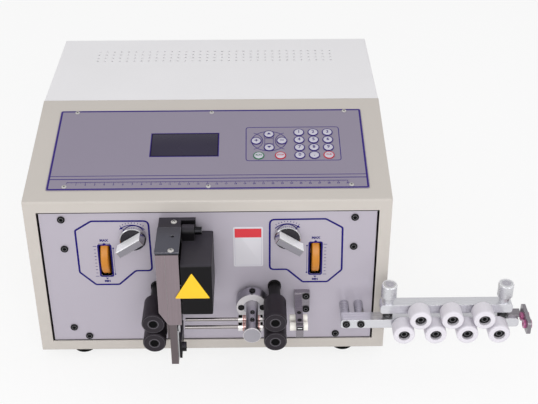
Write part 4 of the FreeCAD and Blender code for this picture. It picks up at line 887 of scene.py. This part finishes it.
for name, pattern, spots, finish in (("key_domes", dome, key_spots, key_silver),
                                     ("key_rings", collar, plain_spots, blue_ink),
                                     ("key_ring_start", collar, [run_spot], green_ink),
                                     ("key_rings_stop", collar, stop_spots, red_ink)):
    places = [Matrix.Translation(Vector((x, s, KEY_FOOT)) * MM) for x, s in spots]
    dress(row_of(copy_of(pattern), places), name, finish, "machine", on_console)
for pattern in (dome, collar):
    bpy.data.objects.remove(pattern)
print(len(key_spots), "keys")

# %% Signs on the keys
KEY_TOP = KEY_FOOT + 1.36
signs = []
for label, (x, s) in zip("1234567890.", digit_spots):
    signs.append(moved(lettering(label, 4.6, 0.16, 0.12), x, s, KEY_TOP))
(left_x, left_s), (right_x, right_s), (up_x, up_s), (down_x, down_s) = cursor_spots
SIGN_LOW, SIGN_HIGH = KEY_TOP - 0.1, KEY_TOP + 0.08
for x, s, half_x, half_s in ((left_x, left_s, 2.2, 0.5), (left_x, left_s, 0.5, 2.2),
                             (right_x, right_s, 2.2, 0.5)):
    bar = box_outline(x - half_x, s - half_s, x + half_x, s + half_s)
    signs.append(slab(bar, SIGN_LOW, SIGN_HIGH))
for x, s, way in ((up_x, up_s, 1), (down_x, down_s, -1)):
    arrow = [(x - 2.4, s - 1.4 * way), (x + 2.4, s - 1.4 * way), (x, s + 2.0 * way)]
    signs.append(slab(arrow, SIGN_LOW, SIGN_HIGH))
dress(joined(signs), "key_signs", blue_ink, "machine", on_console)
dress(moved(lettering("RUN", 2.4, 0.16, 0.08), *run_spot, KEY_TOP), "key_sign_run", green_ink, "machine",
      on_console)
stop_signs = [moved(lettering("STOP", 2.2, 0.16, 0.08), *stop_spot, KEY_TOP),
              moved(lettering("CLR", 2.4, 0.16, 0.08), *digit_spots[-1], KEY_TOP)]
dress(joined(stop_signs), "key_signs_stop", red_ink, "machine", on_console)
print("keys are marked")

# %% [markdown]
# ## Display window and console screws
# The display is a sheet of smoked plastic let into the film, with a dark seam round it. Dark glass
# shows its gloss only where the room is reflected, so it gets a fairly low roughness. Six pan-head
# screws hold the film's plate down, and two crossed dark bars of painted shade stand for the recess in each.

# %% Display window
navy_black = coated("navy_black", (0.045, 0.02, 0.16), 0.6, grain_size=0.5, depth=0.002, patches=0.1,
                    shine=0.1)
display_glass = coated("display_glass", (0.165, 0.145, 0.225), 0.25, grain_size=3.0, depth=0.002,
                       patches=0.25, shine=0.22)
glass = slab(box_outline(*WINDOW), FILM - 0.5, FILM + 0.1, 0.12)
dress(glass, "display_window", display_glass, "machine", on_console)
window_seam = frame_line(box_outline(*WINDOW), 0.8, FILM, FILM + 0.14)
dress(window_seam, "window_seam", navy_black, "machine", on_console)
print("display window in place")

# %% Console screws
SCREW_SPOTS = ((-153, 148), (0.9, 147), (153, 148), (-153, 22.5), (0.4, 21.5), (153, 22.5))
bright_screw = coated("bright_screw", (0.74, 0.73, 0.72), 0.28, grain_size=0.5, depth=0.004, patches=0.2)
painted_recess_shade = coated("painted_recess_shade", (0.09, 0.09, 0.10), 0.6, grain_size=0.5, depth=0.004, patches=0.2)


def pan_heads(places):
    """Pan-head screws, and the dark cross of painted shade in each, every one turned a little further."""
    head = turned([(-0.1, 2.6), (0.5, 2.6), (0.95, 2.1), (1.15, 1.3), (1.2, 0.2)], 28)
    cross = crossed_bars(1.3, 0.28, 0.6, 1.24)
    return row_of(head, places), row_of(cross, [spun(place, 17 * n) for n, place in enumerate(places)])


film_places = [on_console @ Matrix.Translation((x * MM, s * MM, FILM * MM)) for x, s in SCREW_SPOTS]
heads, crosses = pan_heads(film_places)
dress(heads, "console_screws", bright_screw, "machine")
dress(crosses, "console_screw_slots", painted_recess_shade, "machine")
print(len(SCREW_SPOTS), "console screws")

# %% [markdown]
# ## Prints on the front panel
# Round each roller knob and its thumb wheel runs a blue outline with cut corners, with a scale
# beside the wheel and an arrow over the knob. The right side isn't quite a mirror of the left, so
# both outlines are written down. Where a corner is round, its spot comes with a longer curve.

# %% Panel outlines
SIDES = {
    "left": {"sign": -1, "knob": -81.0, "arrow": -82.0, "wheel": -113.2, "top": 143.1,
             "line": [(-143.8, 163.4), (-125.2, 175.6), (-62.9, 175.3), (-62.3, 108.5),
                      (-80.9, 108.5), (-100.0, 90.3), (-126.6, 90.3), (-143.8, 107.8)]},
    "right": {"sign": 1, "knob": 84.3, "arrow": 84.5, "wheel": 115.0, "top": 144.2,
              "line": [(144.5, 164.2), (125.7, 176.0), (64.4, 175.7), (64.2, 108.5),
                       (83.7, 108.5), (101.2, 91.3), (129.2, 91.3), (145.3, 107.9)]},
}
CURVES = (2.0, 2.0, 7.0, 6.0, 2.0, 2.0, 2.0, 2.0)
KNOB_HEIGHT = 154.7
ARROW_HEIGHT = 151.2
ARROW_REACH = 18.0
panel_prints = []


def panel_print(corners):
    """Add a flat print to those on the panel."""
    panel_prints.append(slab(corners, SUNK, INK))


for word, side in SIDES.items():
    panel_prints.append(frame_line(rounded(side["line"], CURVES, 5), 2.1, SUNK, INK))
    slot_x = side["wheel"]
    slot_top = side["top"]
    slot = rounded(box_outline(slot_x - 7.8, 101.6, slot_x + 7.8, slot_top + 1.7), 2.6, 4)
    panel_prints.append(frame_line(slot, 1.7, SUNK, INK))
    for words, height, z in (("MAX", 3.0, slot_top + 6.6), ("MIN", 2.6, 95.9)):
        panel_prints.append(moved(lettering(words, height, INK - SUNK, 0.22), slot_x, z, (INK + SUNK) / 2))
    for z, way in ((slot_top + 2.6, 1), (99.6, -1)):
        mark = [(slot_x - 1.9, z - 0.9 * way), (slot_x + 1.9, z - 0.9 * way), (slot_x, z + 1.2 * way)]
        panel_print(mark)
    scale_x = slot_x + side["sign"] * 10.5
    for step in range(10):
        z = 142.2 - step * 4.4
        long = 2.0 if step in (0, 9) else 1.1
        panel_print(box_outline(scale_x - long, z - 0.3, scale_x + long, z + 0.3))
    line_x = slot_x - side["sign"] * 9.3
    panel_print(box_outline(line_x - 0.22, 105.6, line_x + 0.22, slot_top - 4.0))
    for z in (105.2, slot_top - 3.6):
        panel_print(arc(line_x, z, 1.0, 0, 324, 9))
    cover = slab(box_outline(slot_x - 6.6, slot_top, slot_x + 6.6, 146.6), -0.1, 0.02)
    dress(cover, "slot_cover_" + word, panel_metal, "machine", on_panel)
print(len(panel_prints), "prints so far")

# %% Arrows over the knobs
for side in SIDES.values():
    knob_x = side["arrow"]
    sign = side["sign"]
    start, stop = (42, 128) if sign < 0 else (138, 52)
    sweep = arc(knob_x, ARROW_HEIGHT, ARROW_REACH, start, stop, 14)
    panel_print(stroke(sweep, 1.0))
    for mark in range(9):
        turn = 54 + 9 * mark
        tick = [arc(knob_x, ARROW_HEIGHT, ARROW_REACH + reach, turn, turn, 1)[0] for reach in (2.1, 3.6)]
        panel_print(stroke(tick, 0.7))
    tip = Vector(sweep[-1])
    ahead = (tip - Vector(sweep[-2])).normalized()
    aside = Vector((-ahead.y, ahead.x))
    panel_print([tuple(tip + ahead * 3.0), tuple(tip + aside * 1.9 - ahead * 0.8),
                 tuple(tip - aside * 1.9 - ahead * 0.8)])
dress(joined(panel_prints), "panel_prints", panel_ink, "machine", on_panel)
print("panel printed")

# %% [markdown]
# ## Bare plates
# Two plates are left blank: a white one with a red band on the panel, and a yellow triangle on the
# guard. They carry no words or signs. Their edges are bevelled so that they read as thick film.

# %% Bare plates
plate_white = coated("plate_white", (0.84, 0.83, 0.855), 0.35, grain_size=0.8, depth=0.003, patches=0.03,
                     edge=0.15)
plate_red = coated("plate_red", (0.84, 0.17, 0.22), 0.4, grain_size=0.5, depth=0.002, patches=0.06, edge=0.05)
plate_yellow = coated("plate_yellow", (0.97, 0.78, 0.10), 0.38, grain_size=0.8, depth=0.003, patches=0.05,
                      edge=0.15)
plate_line = coated("plate_line", (0.75, 0.74, 0.79), 0.4, grain_size=0.8, depth=0.002, patches=0.05,
                    edge=0.05)
blank = slab(rounded(box_outline(26.0, 114.1, 58.1, 165.5), 2.2), SUNK, 0.35, 0.1)
dress(blank, "blank_plate", plate_white, "machine", on_panel)
band = slab(box_outline(27.7, 152.2, 56.4, 163.4), 0.3, 0.42)
dress(band, "blank_plate_band", plate_red, "machine", on_panel)
plate_edge = frame_line(rounded(box_outline(27.4, 115.6, 56.7, 164.0), 1.2), 0.5, 0.3, 0.4)
dress(plate_edge, "blank_plate_line", plate_line, "machine", on_panel)
guard_front = millimetres("blade_guard")[0].y
triangle = rounded([(-34.0, 120.9), (2.5, 120.9), (-15.7, 152.8)], 1.6, 3)
sign_plate = slab(triangle, 0.0, 0.5, 0.12)
dress(sign_plate, "guard_plate", plate_yellow, "guard", facing("front", 0, guard_front, 0))
print("bare plates on panel and guard")

# %% [markdown]
# ## Wells and the shaded gap
# Each thumb wheel turns in a slot of the panel, and the depth behind it is dark, lying in shade. A
# thin black wall round the slot paints that shade, so the pale metal doesn't show there. A thin black
# frame paints the shade in the gap round the panel's edge, as a fine dark line. Both are outlines
# with a hole, given some depth.

# %% Wells behind the thumb wheels
# A black that paints shade and dark reflections: in wells, socket holes, gaps and thin dark strips.
painted_shade_black = coated("painted_shade_black", (0.045, 0.045, 0.05), 0.7, grain_size=0.6, depth=0.004, patches=0.2,
                    shine=0.05)
WELL_HALF = 6.05
WELL_REACH = 24.55
WHEEL_HEIGHT = 124.7
wells = []
for side in SIDES.values():
    outline = box_outline(side["wheel"] - WELL_HALF, WHEEL_HEIGHT - WELL_REACH, side["wheel"] + WELL_HALF,
                          WHEEL_HEIGHT + WELL_REACH)
    wells.append(frame_line(outline, 0.12, -11.9, -2.05))
    liner = box_outline(side["wheel"] - 6.25, WHEEL_HEIGHT - 21.25, side["wheel"] + 6.25,
                        WHEEL_HEIGHT + 21.25)
    wells.append(frame_line(liner, 0.35, -2.0, 0.05))
dress(joined(wells), "wheel_wells", painted_shade_black, "machine", on_panel)
print(len(wells), "dark wells")

# %% Painted shade in the gap round the panel
panel_low, panel_high = millimetres("front_panel")
around = box_outline(panel_low.x - 0.3, panel_low.z - 0.3, panel_high.x + 0.3, panel_high.z + 0.3)
gap_shade = frame_line(around, 0.6, -0.3, 0.12)
dress(soften(gap_shade, 0.05, 1), "panel_gap_shade", painted_shade_black, "machine", on_panel)
print("the panel has a dark edge")

# %% [markdown]
# ## Lift knobs
# Each knob is a round base with a bar across it. The base keeps its chrome round the rim and is dark
# on its face. The front of the bar is painted a duller grey, a painted reflection, with a dark line of
# painted reflection along its upper edge, and its upper side is painted white as a highlight. The
# solid already has the form, so these are thin skins that are laid on it and turn with the knob. The
# strips are drawn along the bar first, then turned to its slope, and mirrored for the left knob.

# %% Skins of the knobs
knob_black = coated("knob_black", (0.15, 0.145, 0.165), 0.22, grain_size=0.9, depth=0.004, patches=0.5,
                    shine=0.25)
painted_bar_reflection = machined("painted_bar_reflection", (0.54, 0.53, 0.56), 0.5, "X", 0.3, 20.0, 0.002, 0.15, metallic=0.3)
# The white of the bar's upper side is a painted highlight.
bar_white = machined("bar_white", (0.99, 0.99, 1.0), 0.3, "X", 0.3, 20.0, 0.001, 0.04, metallic=0.1)
KNOB_FACE = -5.6
BAR_FRONT = -20.6
BAR_NOSE, BAR_TAIL, BAR_HALF = -13.2, 17.8, 4.1
BAR_SLOPE = math.radians(-33.3)


def along_bar(sign, start, stop, low, high):
    """Corners of a strip along one knob's bar, turned to the bar's slope."""
    cosine, sine = math.cos(BAR_SLOPE), math.sin(BAR_SLOPE)
    strip = box_outline(start, low, stop, high)
    return [(sign * (x * cosine - y * sine), x * sine + y * cosine) for x, y in strip]


for word, side in SIDES.items():
    body = "knob_" + word
    sign = side["sign"]
    face = turned([(-0.05, 13.2), (0.1, 13.3), (0.22, 12.9), (0.22, 12.2), (0.1, 11.9), (0.1, 0.3)], 48)
    front = slab(along_bar(sign, BAR_NOSE + 0.9, BAR_TAIL - 0.9, 0.9 - BAR_HALF, BAR_HALF - 0.9), -0.1, 0.0)
    edge_strip = along_bar(sign, BAR_NOSE + 0.7, BAR_TAIL - 0.7, BAR_HALF - 1.05, BAR_HALF - 0.55)
    side_strip = along_bar(sign, BAR_NOSE + 0.25, BAR_TAIL - 0.25, BAR_HALF - 0.05, BAR_HALF + 0.08)
    for part, piece, finish, slot, y in (
            ("face", face, knob_black, "black_metal", KNOB_FACE),
            ("bar_front", front, painted_bar_reflection, "bright_steel", BAR_FRONT - 0.02),
            ("bar_edge", slab(edge_strip, -0.6, -0.02), painted_shade_black, "black_metal", BAR_FRONT),
            ("bar_side", slab(side_strip, 0.25, 14.1), bar_white, "bright_steel", KNOB_FACE)):
        dress(piece, "knob_%s_%s" % (part, word), finish, body,
              facing("front", side["knob"], y, KNOB_HEIGHT))
print("two knobs dressed")

# %% [markdown]
# ## Screws with hexagon sockets
# The panel, the inlet and the straightener are held by black screws with a hexagon socket. From the
# front a socket reads as a bright ring of painted highlight round a dark hole of painted shade. A
# hexagon is a circle of six points, an inset of its face leaves the ring, and one function makes both
# for any screw.

# %% Sockets of the black screws
painted_socket_highlight = coated("painted_socket_highlight", (0.46, 0.455, 0.47), 0.35, grain_size=0.5, depth=0.002, patches=0.4)
RIGHT_SCREWS = ((156.2, 177.0), (156.2, 139.5), (156.2, 32.0), (140.0, 19.5))
PANEL_SCREWS = [(side * x, 0.7, z) for side in (-1, 1) for x, z in RIGHT_SCREWS]
POST_SCREWS = [(148.3, -36.3, 61.5), (164.2, -36.3, 61.5)]
INLET_SCREWS = [(105.3, -6.3, 77.9), (105.3, -6.3, 60.1)]


def hexagon(across):
    """A hexagon, given its width over two flats."""
    return arc(0, 0, across / math.sqrt(3), 0, 300, 5)


def sockets(places, across, ring, name, body):
    """A dark hexagon of painted shade and a ring of painted highlight on each screw head."""
    laid = [facing("front", x, y, z) for x, y, z in places]
    holes = row_of(slab(hexagon(across), -0.1, 0.04), laid)
    dress(holes, name + "_sockets", painted_shade_black, body)
    rings = row_of(frame_line(hexagon(across + 2 * ring), ring, -0.1, 0.08), laid)
    dress(rings, name + "_socket_rings", painted_socket_highlight, body)


sockets(PANEL_SCREWS, 4.0, 0.35, "panel_screw", "machine")
sockets(POST_SCREWS + INLET_SCREWS, 3.0, 0.35, "bar_screw", "machine")
print(len(PANEL_SCREWS) + 4, "screw heads have a socket")

# %% [markdown]
# ## Ends of the feed rollers
# A roller's face has a deep socket that clamps it to its shaft. Seen from the front, the socket is a
# black hexagon of painted shade, and two thin rings on the face, one round it and one near the rim,
# are painted highlights.

# %% Roller faces
painted_roller_highlight = coated("painted_roller_highlight", (0.35, 0.335, 0.36), 0.4, grain_size=0.5, depth=0.003, patches=0.3,
                     shine=0.3)
ROLLER_FACE = -62.0
SHAFT_END = -61.7
ROLLERS = {"lower_feed_left": (-59.0, 59.6), "upper_feed_left": (-59.0, 85.2),
           "lower_feed_right": (70.4, 59.6), "upper_feed_right": (70.4, 85.2)}
HIGHLIGHT_RINGS = ((5.9, 0.9), (11.3, 0.3))
for body, (x, z) in ROLLERS.items():
    hole = slab(hexagon(7.6), -0.1, 0.15, 0.04, 1)
    dress(hole, body + "_socket", painted_shade_black, body, facing("front", x, SHAFT_END, z))
    rings = [frame_line(arc(0, 0, reach, 0, 351, 39), wide, -0.1, 0.04) for reach, wide in HIGHLIGHT_RINGS]
    dress(joined(rings), body + "_rings", painted_roller_highlight, body,
          facing("front", x, ROLLER_FACE, z))
print(len(ROLLERS), "roller ends")

# %% [markdown]
# ## Idler screws
# Each white idler turns on a cap screw that sits in its deep counterbore. The head is a disc that
# is extruded ring by ring, with a soft rim, a hexagon ring of painted highlight and a dark socket of painted
# shade.

# %% Cap screws of the idlers
screw_black = coated("screw_black", (0.075, 0.07, 0.08), 0.35, grain_size=0.5, depth=0.003, patches=0.3,
                     shine=0.2)
IDLER_PITCH = 34.2
IDLER_ROWS = {"lower": ("machine", 209.3, 61.5, 4), "upper": ("straightener", 225.9, 80.9, 3)}
HEAD_BACK = -49.7
HEAD_HIGH = 3.6
for row, (body, first, z, count) in IDLER_ROWS.items():
    places = [spun(facing("front", first + IDLER_PITCH * n, HEAD_BACK, z), 17 * n) for n in range(count)]
    cap = turned([(0.0, 5.7), (HEAD_HIGH - 0.6, 5.7), (HEAD_HIGH, 5.1), (HEAD_HIGH, 0.3)], 36)
    ring = frame_line(hexagon(6.0), 0.55, HEAD_HIGH - 0.05, HEAD_HIGH + 0.08)
    hole = slab(hexagon(4.9), HEAD_HIGH - 0.05, HEAD_HIGH + 0.03)
    for part, piece, finish in (("caps", cap, screw_black), ("cap_rings", ring, painted_socket_highlight),
                                ("cap_sockets", hole, painted_shade_black)):
        dress(row_of(piece, places), "%s_idler_%s" % (row, part), finish, body)
print("seven idler screws")

# %% [markdown]
# ## Wire guide between the tubes
# The chromed hub that carries the wire tubes is clamped by black screws: one from above, two in its
# front face and two grub screws in its post. The tubes end in sleeves with coppery rings. All the
# screws are one turned head in different sizes. Thin dark strips shade the sides of the sleeves.

# %% Screws of the hub
HUB_X, HUB_Z, HUB_FACE = 45.5, 72.4, -17.4
WIRES = (-38.0, -51.0)


def cap_head(radius, high):
    """The head of a socket screw as one black piece, with a round recess in its top."""
    return turned([(-0.3, radius), (high * 0.75, radius), (high, radius * 0.86), (high, radius * 0.62),
                   (high * 0.55, radius * 0.5), (high * 0.55, 0.2)], 32)


hub_screws = []
for way, x, y, z, radius, high in (("up", HUB_X + 0.5, -11.0, 89.6, 3.5, 2.2),
                                   ("front", HUB_X - 11.9, HUB_FACE, HUB_Z, 3.6, 1.2),
                                   ("front", HUB_X + 11.9, HUB_FACE, HUB_Z, 3.6, 1.2),
                                   ("up", HUB_X + 0.6, WIRES[0], 81.4, 2.6, 0.5),
                                   ("up", HUB_X + 0.4, WIRES[1], 81.4, 2.6, 0.5)):
    screw = cap_head(radius, high)
    if high < 1.0:  # the low screws on the round post show as ovals
        screw.data.transform(Matrix.Diagonal((1.0, 1.5, 1.0, 1.0)))
    screw.data.transform(facing(way, x, y, z))
    hub_screws.append(screw)
dress(joined(hub_screws), "hub_screws", screw_black, "conduit")
print(len(hub_screws), "hub screws")

# %% Bright face of the hub, a painted highlight on the chrome
painted_hub_highlight = machined("painted_hub_highlight", (0.86, 0.845, 0.855), 0.5, "Z", 0.4, 12.0, 0.002, 0.3, metallic=0.2)
hub_face = frame_line(arc(0, 0, 17.0, 0, 355, 71), 7.3, -0.1, 0.12)
dress(hub_face, "hub_face", painted_hub_highlight, "conduit", facing("front", HUB_X, HUB_FACE, HUB_Z))
# A thin band round the end of the post is a painted highlight on its edge.
POST_END = -66.45
post_rim = turned([(0.0, 9.42), (0.0, 9.5), (0.9, 9.6), (1.5, 9.45), (1.5, 9.42)], 64)
dress(post_rim, "post_rim", painted_hub_highlight, "conduit", facing("back", HUB_X, POST_END, HUB_Z))
print("hub face turned")

# %% Sleeves and rings on the tubes
sleeve_white = machined("sleeve_white", (0.92, 0.915, 0.91), 0.3, "X", 0.3, 20.0, 0.002, 0.06, metallic=0.3)
copper_ring = machined("copper_ring", (0.72, 0.47, 0.42), 0.3, "X", 0.3, 20.0, 0.002, 0.15, metallic=0.6)
sleeves, coppers, shades = [], [], []
for y in WIRES:
    for start, stop, group in ((30.7, 35.2, sleeves), (35.7, 36.9, coppers), (37.4, 38.6, coppers),
                               (52.2, 53.6, coppers), (54.3, 57.1, sleeves)):
        ring = turned([(0.0, 3.9), (0.2, 4.5), (stop - start - 0.2, 4.5), (stop - start, 3.9)], 32)
        ring.data.transform(facing("right", start, y, HUB_Z))
        group.append(ring)
    for start, stop in ((30.9, 35.0), (37.0, 37.3), (54.5, 56.9)):
        shade = slab(stroke(arc(0, 0, 4.5, 100, 215, 12), 0.2), 0.0, stop - start)
        shade.data.transform(facing("right", start, y, HUB_Z))
        shades.append(shade)
dress(joined(sleeves), "tube_sleeves", sleeve_white, "conduit")
dress(joined(coppers), "tube_rings", copper_ring, "conduit")
dress(joined(shades), "tube_sleeve_shades", painted_shade_black, "conduit")
print(len(sleeves), "sleeves,", len(coppers), "rings")

# %% [markdown]
# ## Inlet block
# The upright bar of the wire inlet has a dark slot in its front with a bright wire clip in it, and
# two grub screws in its top that hold the white liners.

# %% Slot and grub screws of the inlet
INLET_X, INLET_FACE, INLET_TOP = 96.4, -62.0, 80.5
slot_place = facing("front", INLET_X, INLET_FACE, 0)
slot = slab(box_outline(-3.4, 75.4, 3.4, 80.3), -0.1, 0.05)
dress(slot, "inlet_slot", screw_black, "machine", slot_place)
clip = slab(box_outline(-2.4, 77.4, 2.4, 78.3), -0.05, 0.12, 0.04)
dress(clip, "inlet_clip", bar_white, "machine", slot_place)
grub_screws = row_of(cap_head(2.4, 0.4), [facing("up", INLET_X, y, INLET_TOP) for y in WIRES])
dress(grub_screws, "inlet_screws", screw_black, "machine")
print("inlet finished")

# %% [markdown]
# ## Cap of the blade head
# The cap plate is held by two pan-head screws with a cross recess, and a thin dark strip under its
# front edge paints the shadow of the cap there. The heads stand for the plain discs of the solid.

# %% Cap screws and the painted shadow under the cap
CAP_X, CAP_FRONT, CAP_TOP = -35.8, -63.0, 178.5
CAP_SCREWS = ((-60.2, 24.0), (-7.2, 40.0))
places = [facing("up", CAP_X, y, CAP_TOP) for y, turn in CAP_SCREWS]
head = turned([(-0.1, 3.2), (0.5, 3.25), (1.1, 2.9), (1.55, 2.1), (1.7, 1.0), (1.72, 0.2)], 32)
heads = dress(row_of(head, places), "cap_screw_heads", bright_screw, "machine")
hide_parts("cap_screws")
places = [spun(place, turn) for place, (y, turn) in zip(places, CAP_SCREWS)]
crosses = row_of(crossed_bars(2.0, 0.34, 1.0, 1.76), places)
dress(crosses, "cap_screw_slots", painted_recess_shade, "machine")
cap_shadow = slab(box_outline(-51.9, 175.0, -28.6, 176.4), -0.1, 0.4)
dress(cap_shadow, "cap_shadow_line", painted_shade_black, "machine", facing("front", 0, CAP_FRONT, 0))
print("cap finished")

# %% [markdown]
# ## Springs of the straightener
# Two springs hold the bars apart. A Screw modifier carries a small circle round an upright axis
# while it climbs.

# %% Springs
spring_wire = machined("spring_wire", (0.20, 0.20, 0.21), 0.3, "Z", 0.3, 20.0, 0.002, 0.15, metallic=0.6)
SPRING_LOW, SPRING_HIGH, SPRING_Y = 67.0, 75.4, -28.5
THUMBS = {"left": 193.7, "right": 319.4}
WIRE_RADIUS, COIL_RADIUS = 0.62, 4.9
TURNS, STEPS = 4, 24
only()
bpy.ops.mesh.primitive_circle_add(vertices=10, radius=WIRE_RADIUS * MM, fill_type="NGON",
                                  location=(COIL_RADIUS * MM, 0.0, WIRE_RADIUS * MM),
                                  rotation=(math.pi / 2, 0.0, 0.0))
coil = bpy.context.object
bpy.ops.object.transform_apply(location=True, rotation=True, scale=True)
screw = coil.modifiers.new("climb", "SCREW")
screw.axis = "Z"
screw.angle = TURNS * 2 * math.pi
screw.steps = TURNS * STEPS
screw.render_steps = TURNS * STEPS
screw.screw_offset = (SPRING_HIGH - SPRING_LOW - WIRE_RADIUS * 2) * MM
screw.use_merge_vertices = False
bpy.ops.object.modifier_apply(modifier=screw.name)
bpy.ops.object.mode_set(mode="EDIT")
bpy.ops.mesh.select_all(action="SELECT")
bpy.ops.mesh.normals_make_consistent(inside=False)
bpy.ops.object.mode_set(mode="OBJECT")
springs = row_of(coil, [facing("up", x, SPRING_Y, SPRING_LOW) for x in THUMBS.values()])
springs.name = "spring_coils"
springs.data.name = "spring_coils"
springs.data.materials.append(spring_wire)
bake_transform(springs)
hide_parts("straightener_springs")
print("springs of", TURNS, "turns")

# %% [markdown]
# ## Tops of the thumb screws
# The knurled heads are dished on top. The rim is a thin flat ring painted bright as a highlight, and
# the dish is a disc that is extruded ring by ring inside it, painted a darker grey for the shade in it.

# %% Rims and dishes
painted_rim_highlight = machined("painted_rim_highlight", (0.92, 0.92, 0.935), 0.3, "X", 0.3, 20.0, 0.002, 0.06, metallic=0.4)
painted_dish_shade = machined("painted_dish_shade", (0.71, 0.70, 0.735), 0.35, "X", 0.2, 12.0, 0.002, 0.25, metallic=0.5)
HEAD_TOP = 110.4
for word, x in THUMBS.items():
    body = "thumb_" + word
    rim = frame_line(arc(0, 0, 7.9, 0, 352.5, 47), 1.1, -0.2, 0.0)
    dish = turned([(-0.2, 6.5), (-0.06, 6.4), (-0.02, 3.0), (-0.05, 0.3)], 48)
    on_thumb = facing("up", x, SPRING_Y, HEAD_TOP + 0.04)
    dress(rim, "thumb_rim_" + word, painted_rim_highlight, body, on_thumb)
    dress(dish, "thumb_dish_" + word, painted_dish_shade, body, on_thumb)
print("thumb screws topped")

# %% [markdown]
# ## Feet and the back
# The rubber feet taper towards the case. At the back, the rocker carries its I and O marks, one on
# each of its two flats, and the back panel is held by small pan-head screws.

# %% Feet
FOOT_SPOTS = [(x, y) for x in (-150.0, 150.0) for y in (22.0, 322.0)]
foot = turned([(-11.0, 12.4), (-10.4, 12.9), (-8.0, 12.7), (-0.6, 11.2), (0.0, 10.9)], 40)
feet = row_of(foot, [facing("up", x, y, 0.0) for x, y in FOOT_SPOTS])
rubber_feet = dress(feet, "tapered_feet", rubber, "machine")
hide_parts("rubber_feet")
print(len(FOOT_SPOTS), "feet")

# %% Marks on the rocker
ROCKER_X, BACK_FACE, ROCKER_HEIGHT = -140.0, 344.0, 100.0
ROCKER_TALL, ROCKER_EDGE, ROCKER_MIDDLE, ROCKER_SUNK = 10.1, 4.0, 1.4, 0.9
ring = frame_line(arc(0, 0, 2.4, 0, 352.5, 47), 0.55, SUNK, INK)
stroke_mark = slab(box_outline(-0.35, -2.5, 0.35, 2.5), SUNK, INK)
for mark, outer, side in ((ring, ROCKER_EDGE, -1), (stroke_mark, ROCKER_SUNK, 1)):
    lean = math.atan2(outer - ROCKER_MIDDLE, ROCKER_TALL) * side
    reach = BACK_FACE + (outer + ROCKER_MIDDLE) / 2
    place = facing("back", ROCKER_X, reach, ROCKER_HEIGHT + side * ROCKER_TALL / 2)
    mark.data.transform(place @ Matrix.Rotation(-lean, 4, "X"))
dress(joined([ring, stroke_mark]), "rocker_marks", lid_paint, "rocker")
print("the rocker is marked")

# %% Screws of the back panel
BACK_SCREWS = [(x, z) for x in (-187.0, 0.0, 187.0) for z in (8.5, 212.5)]
heads, crosses = pan_heads([facing("back", x, BACK_FACE, z) for x, z in BACK_SCREWS])
dress(heads, "back_screws", bright_screw, "machine")
dress(crosses, "back_screw_slots", painted_recess_shade, "machine")
print(len(BACK_SCREWS), "screws at the back")
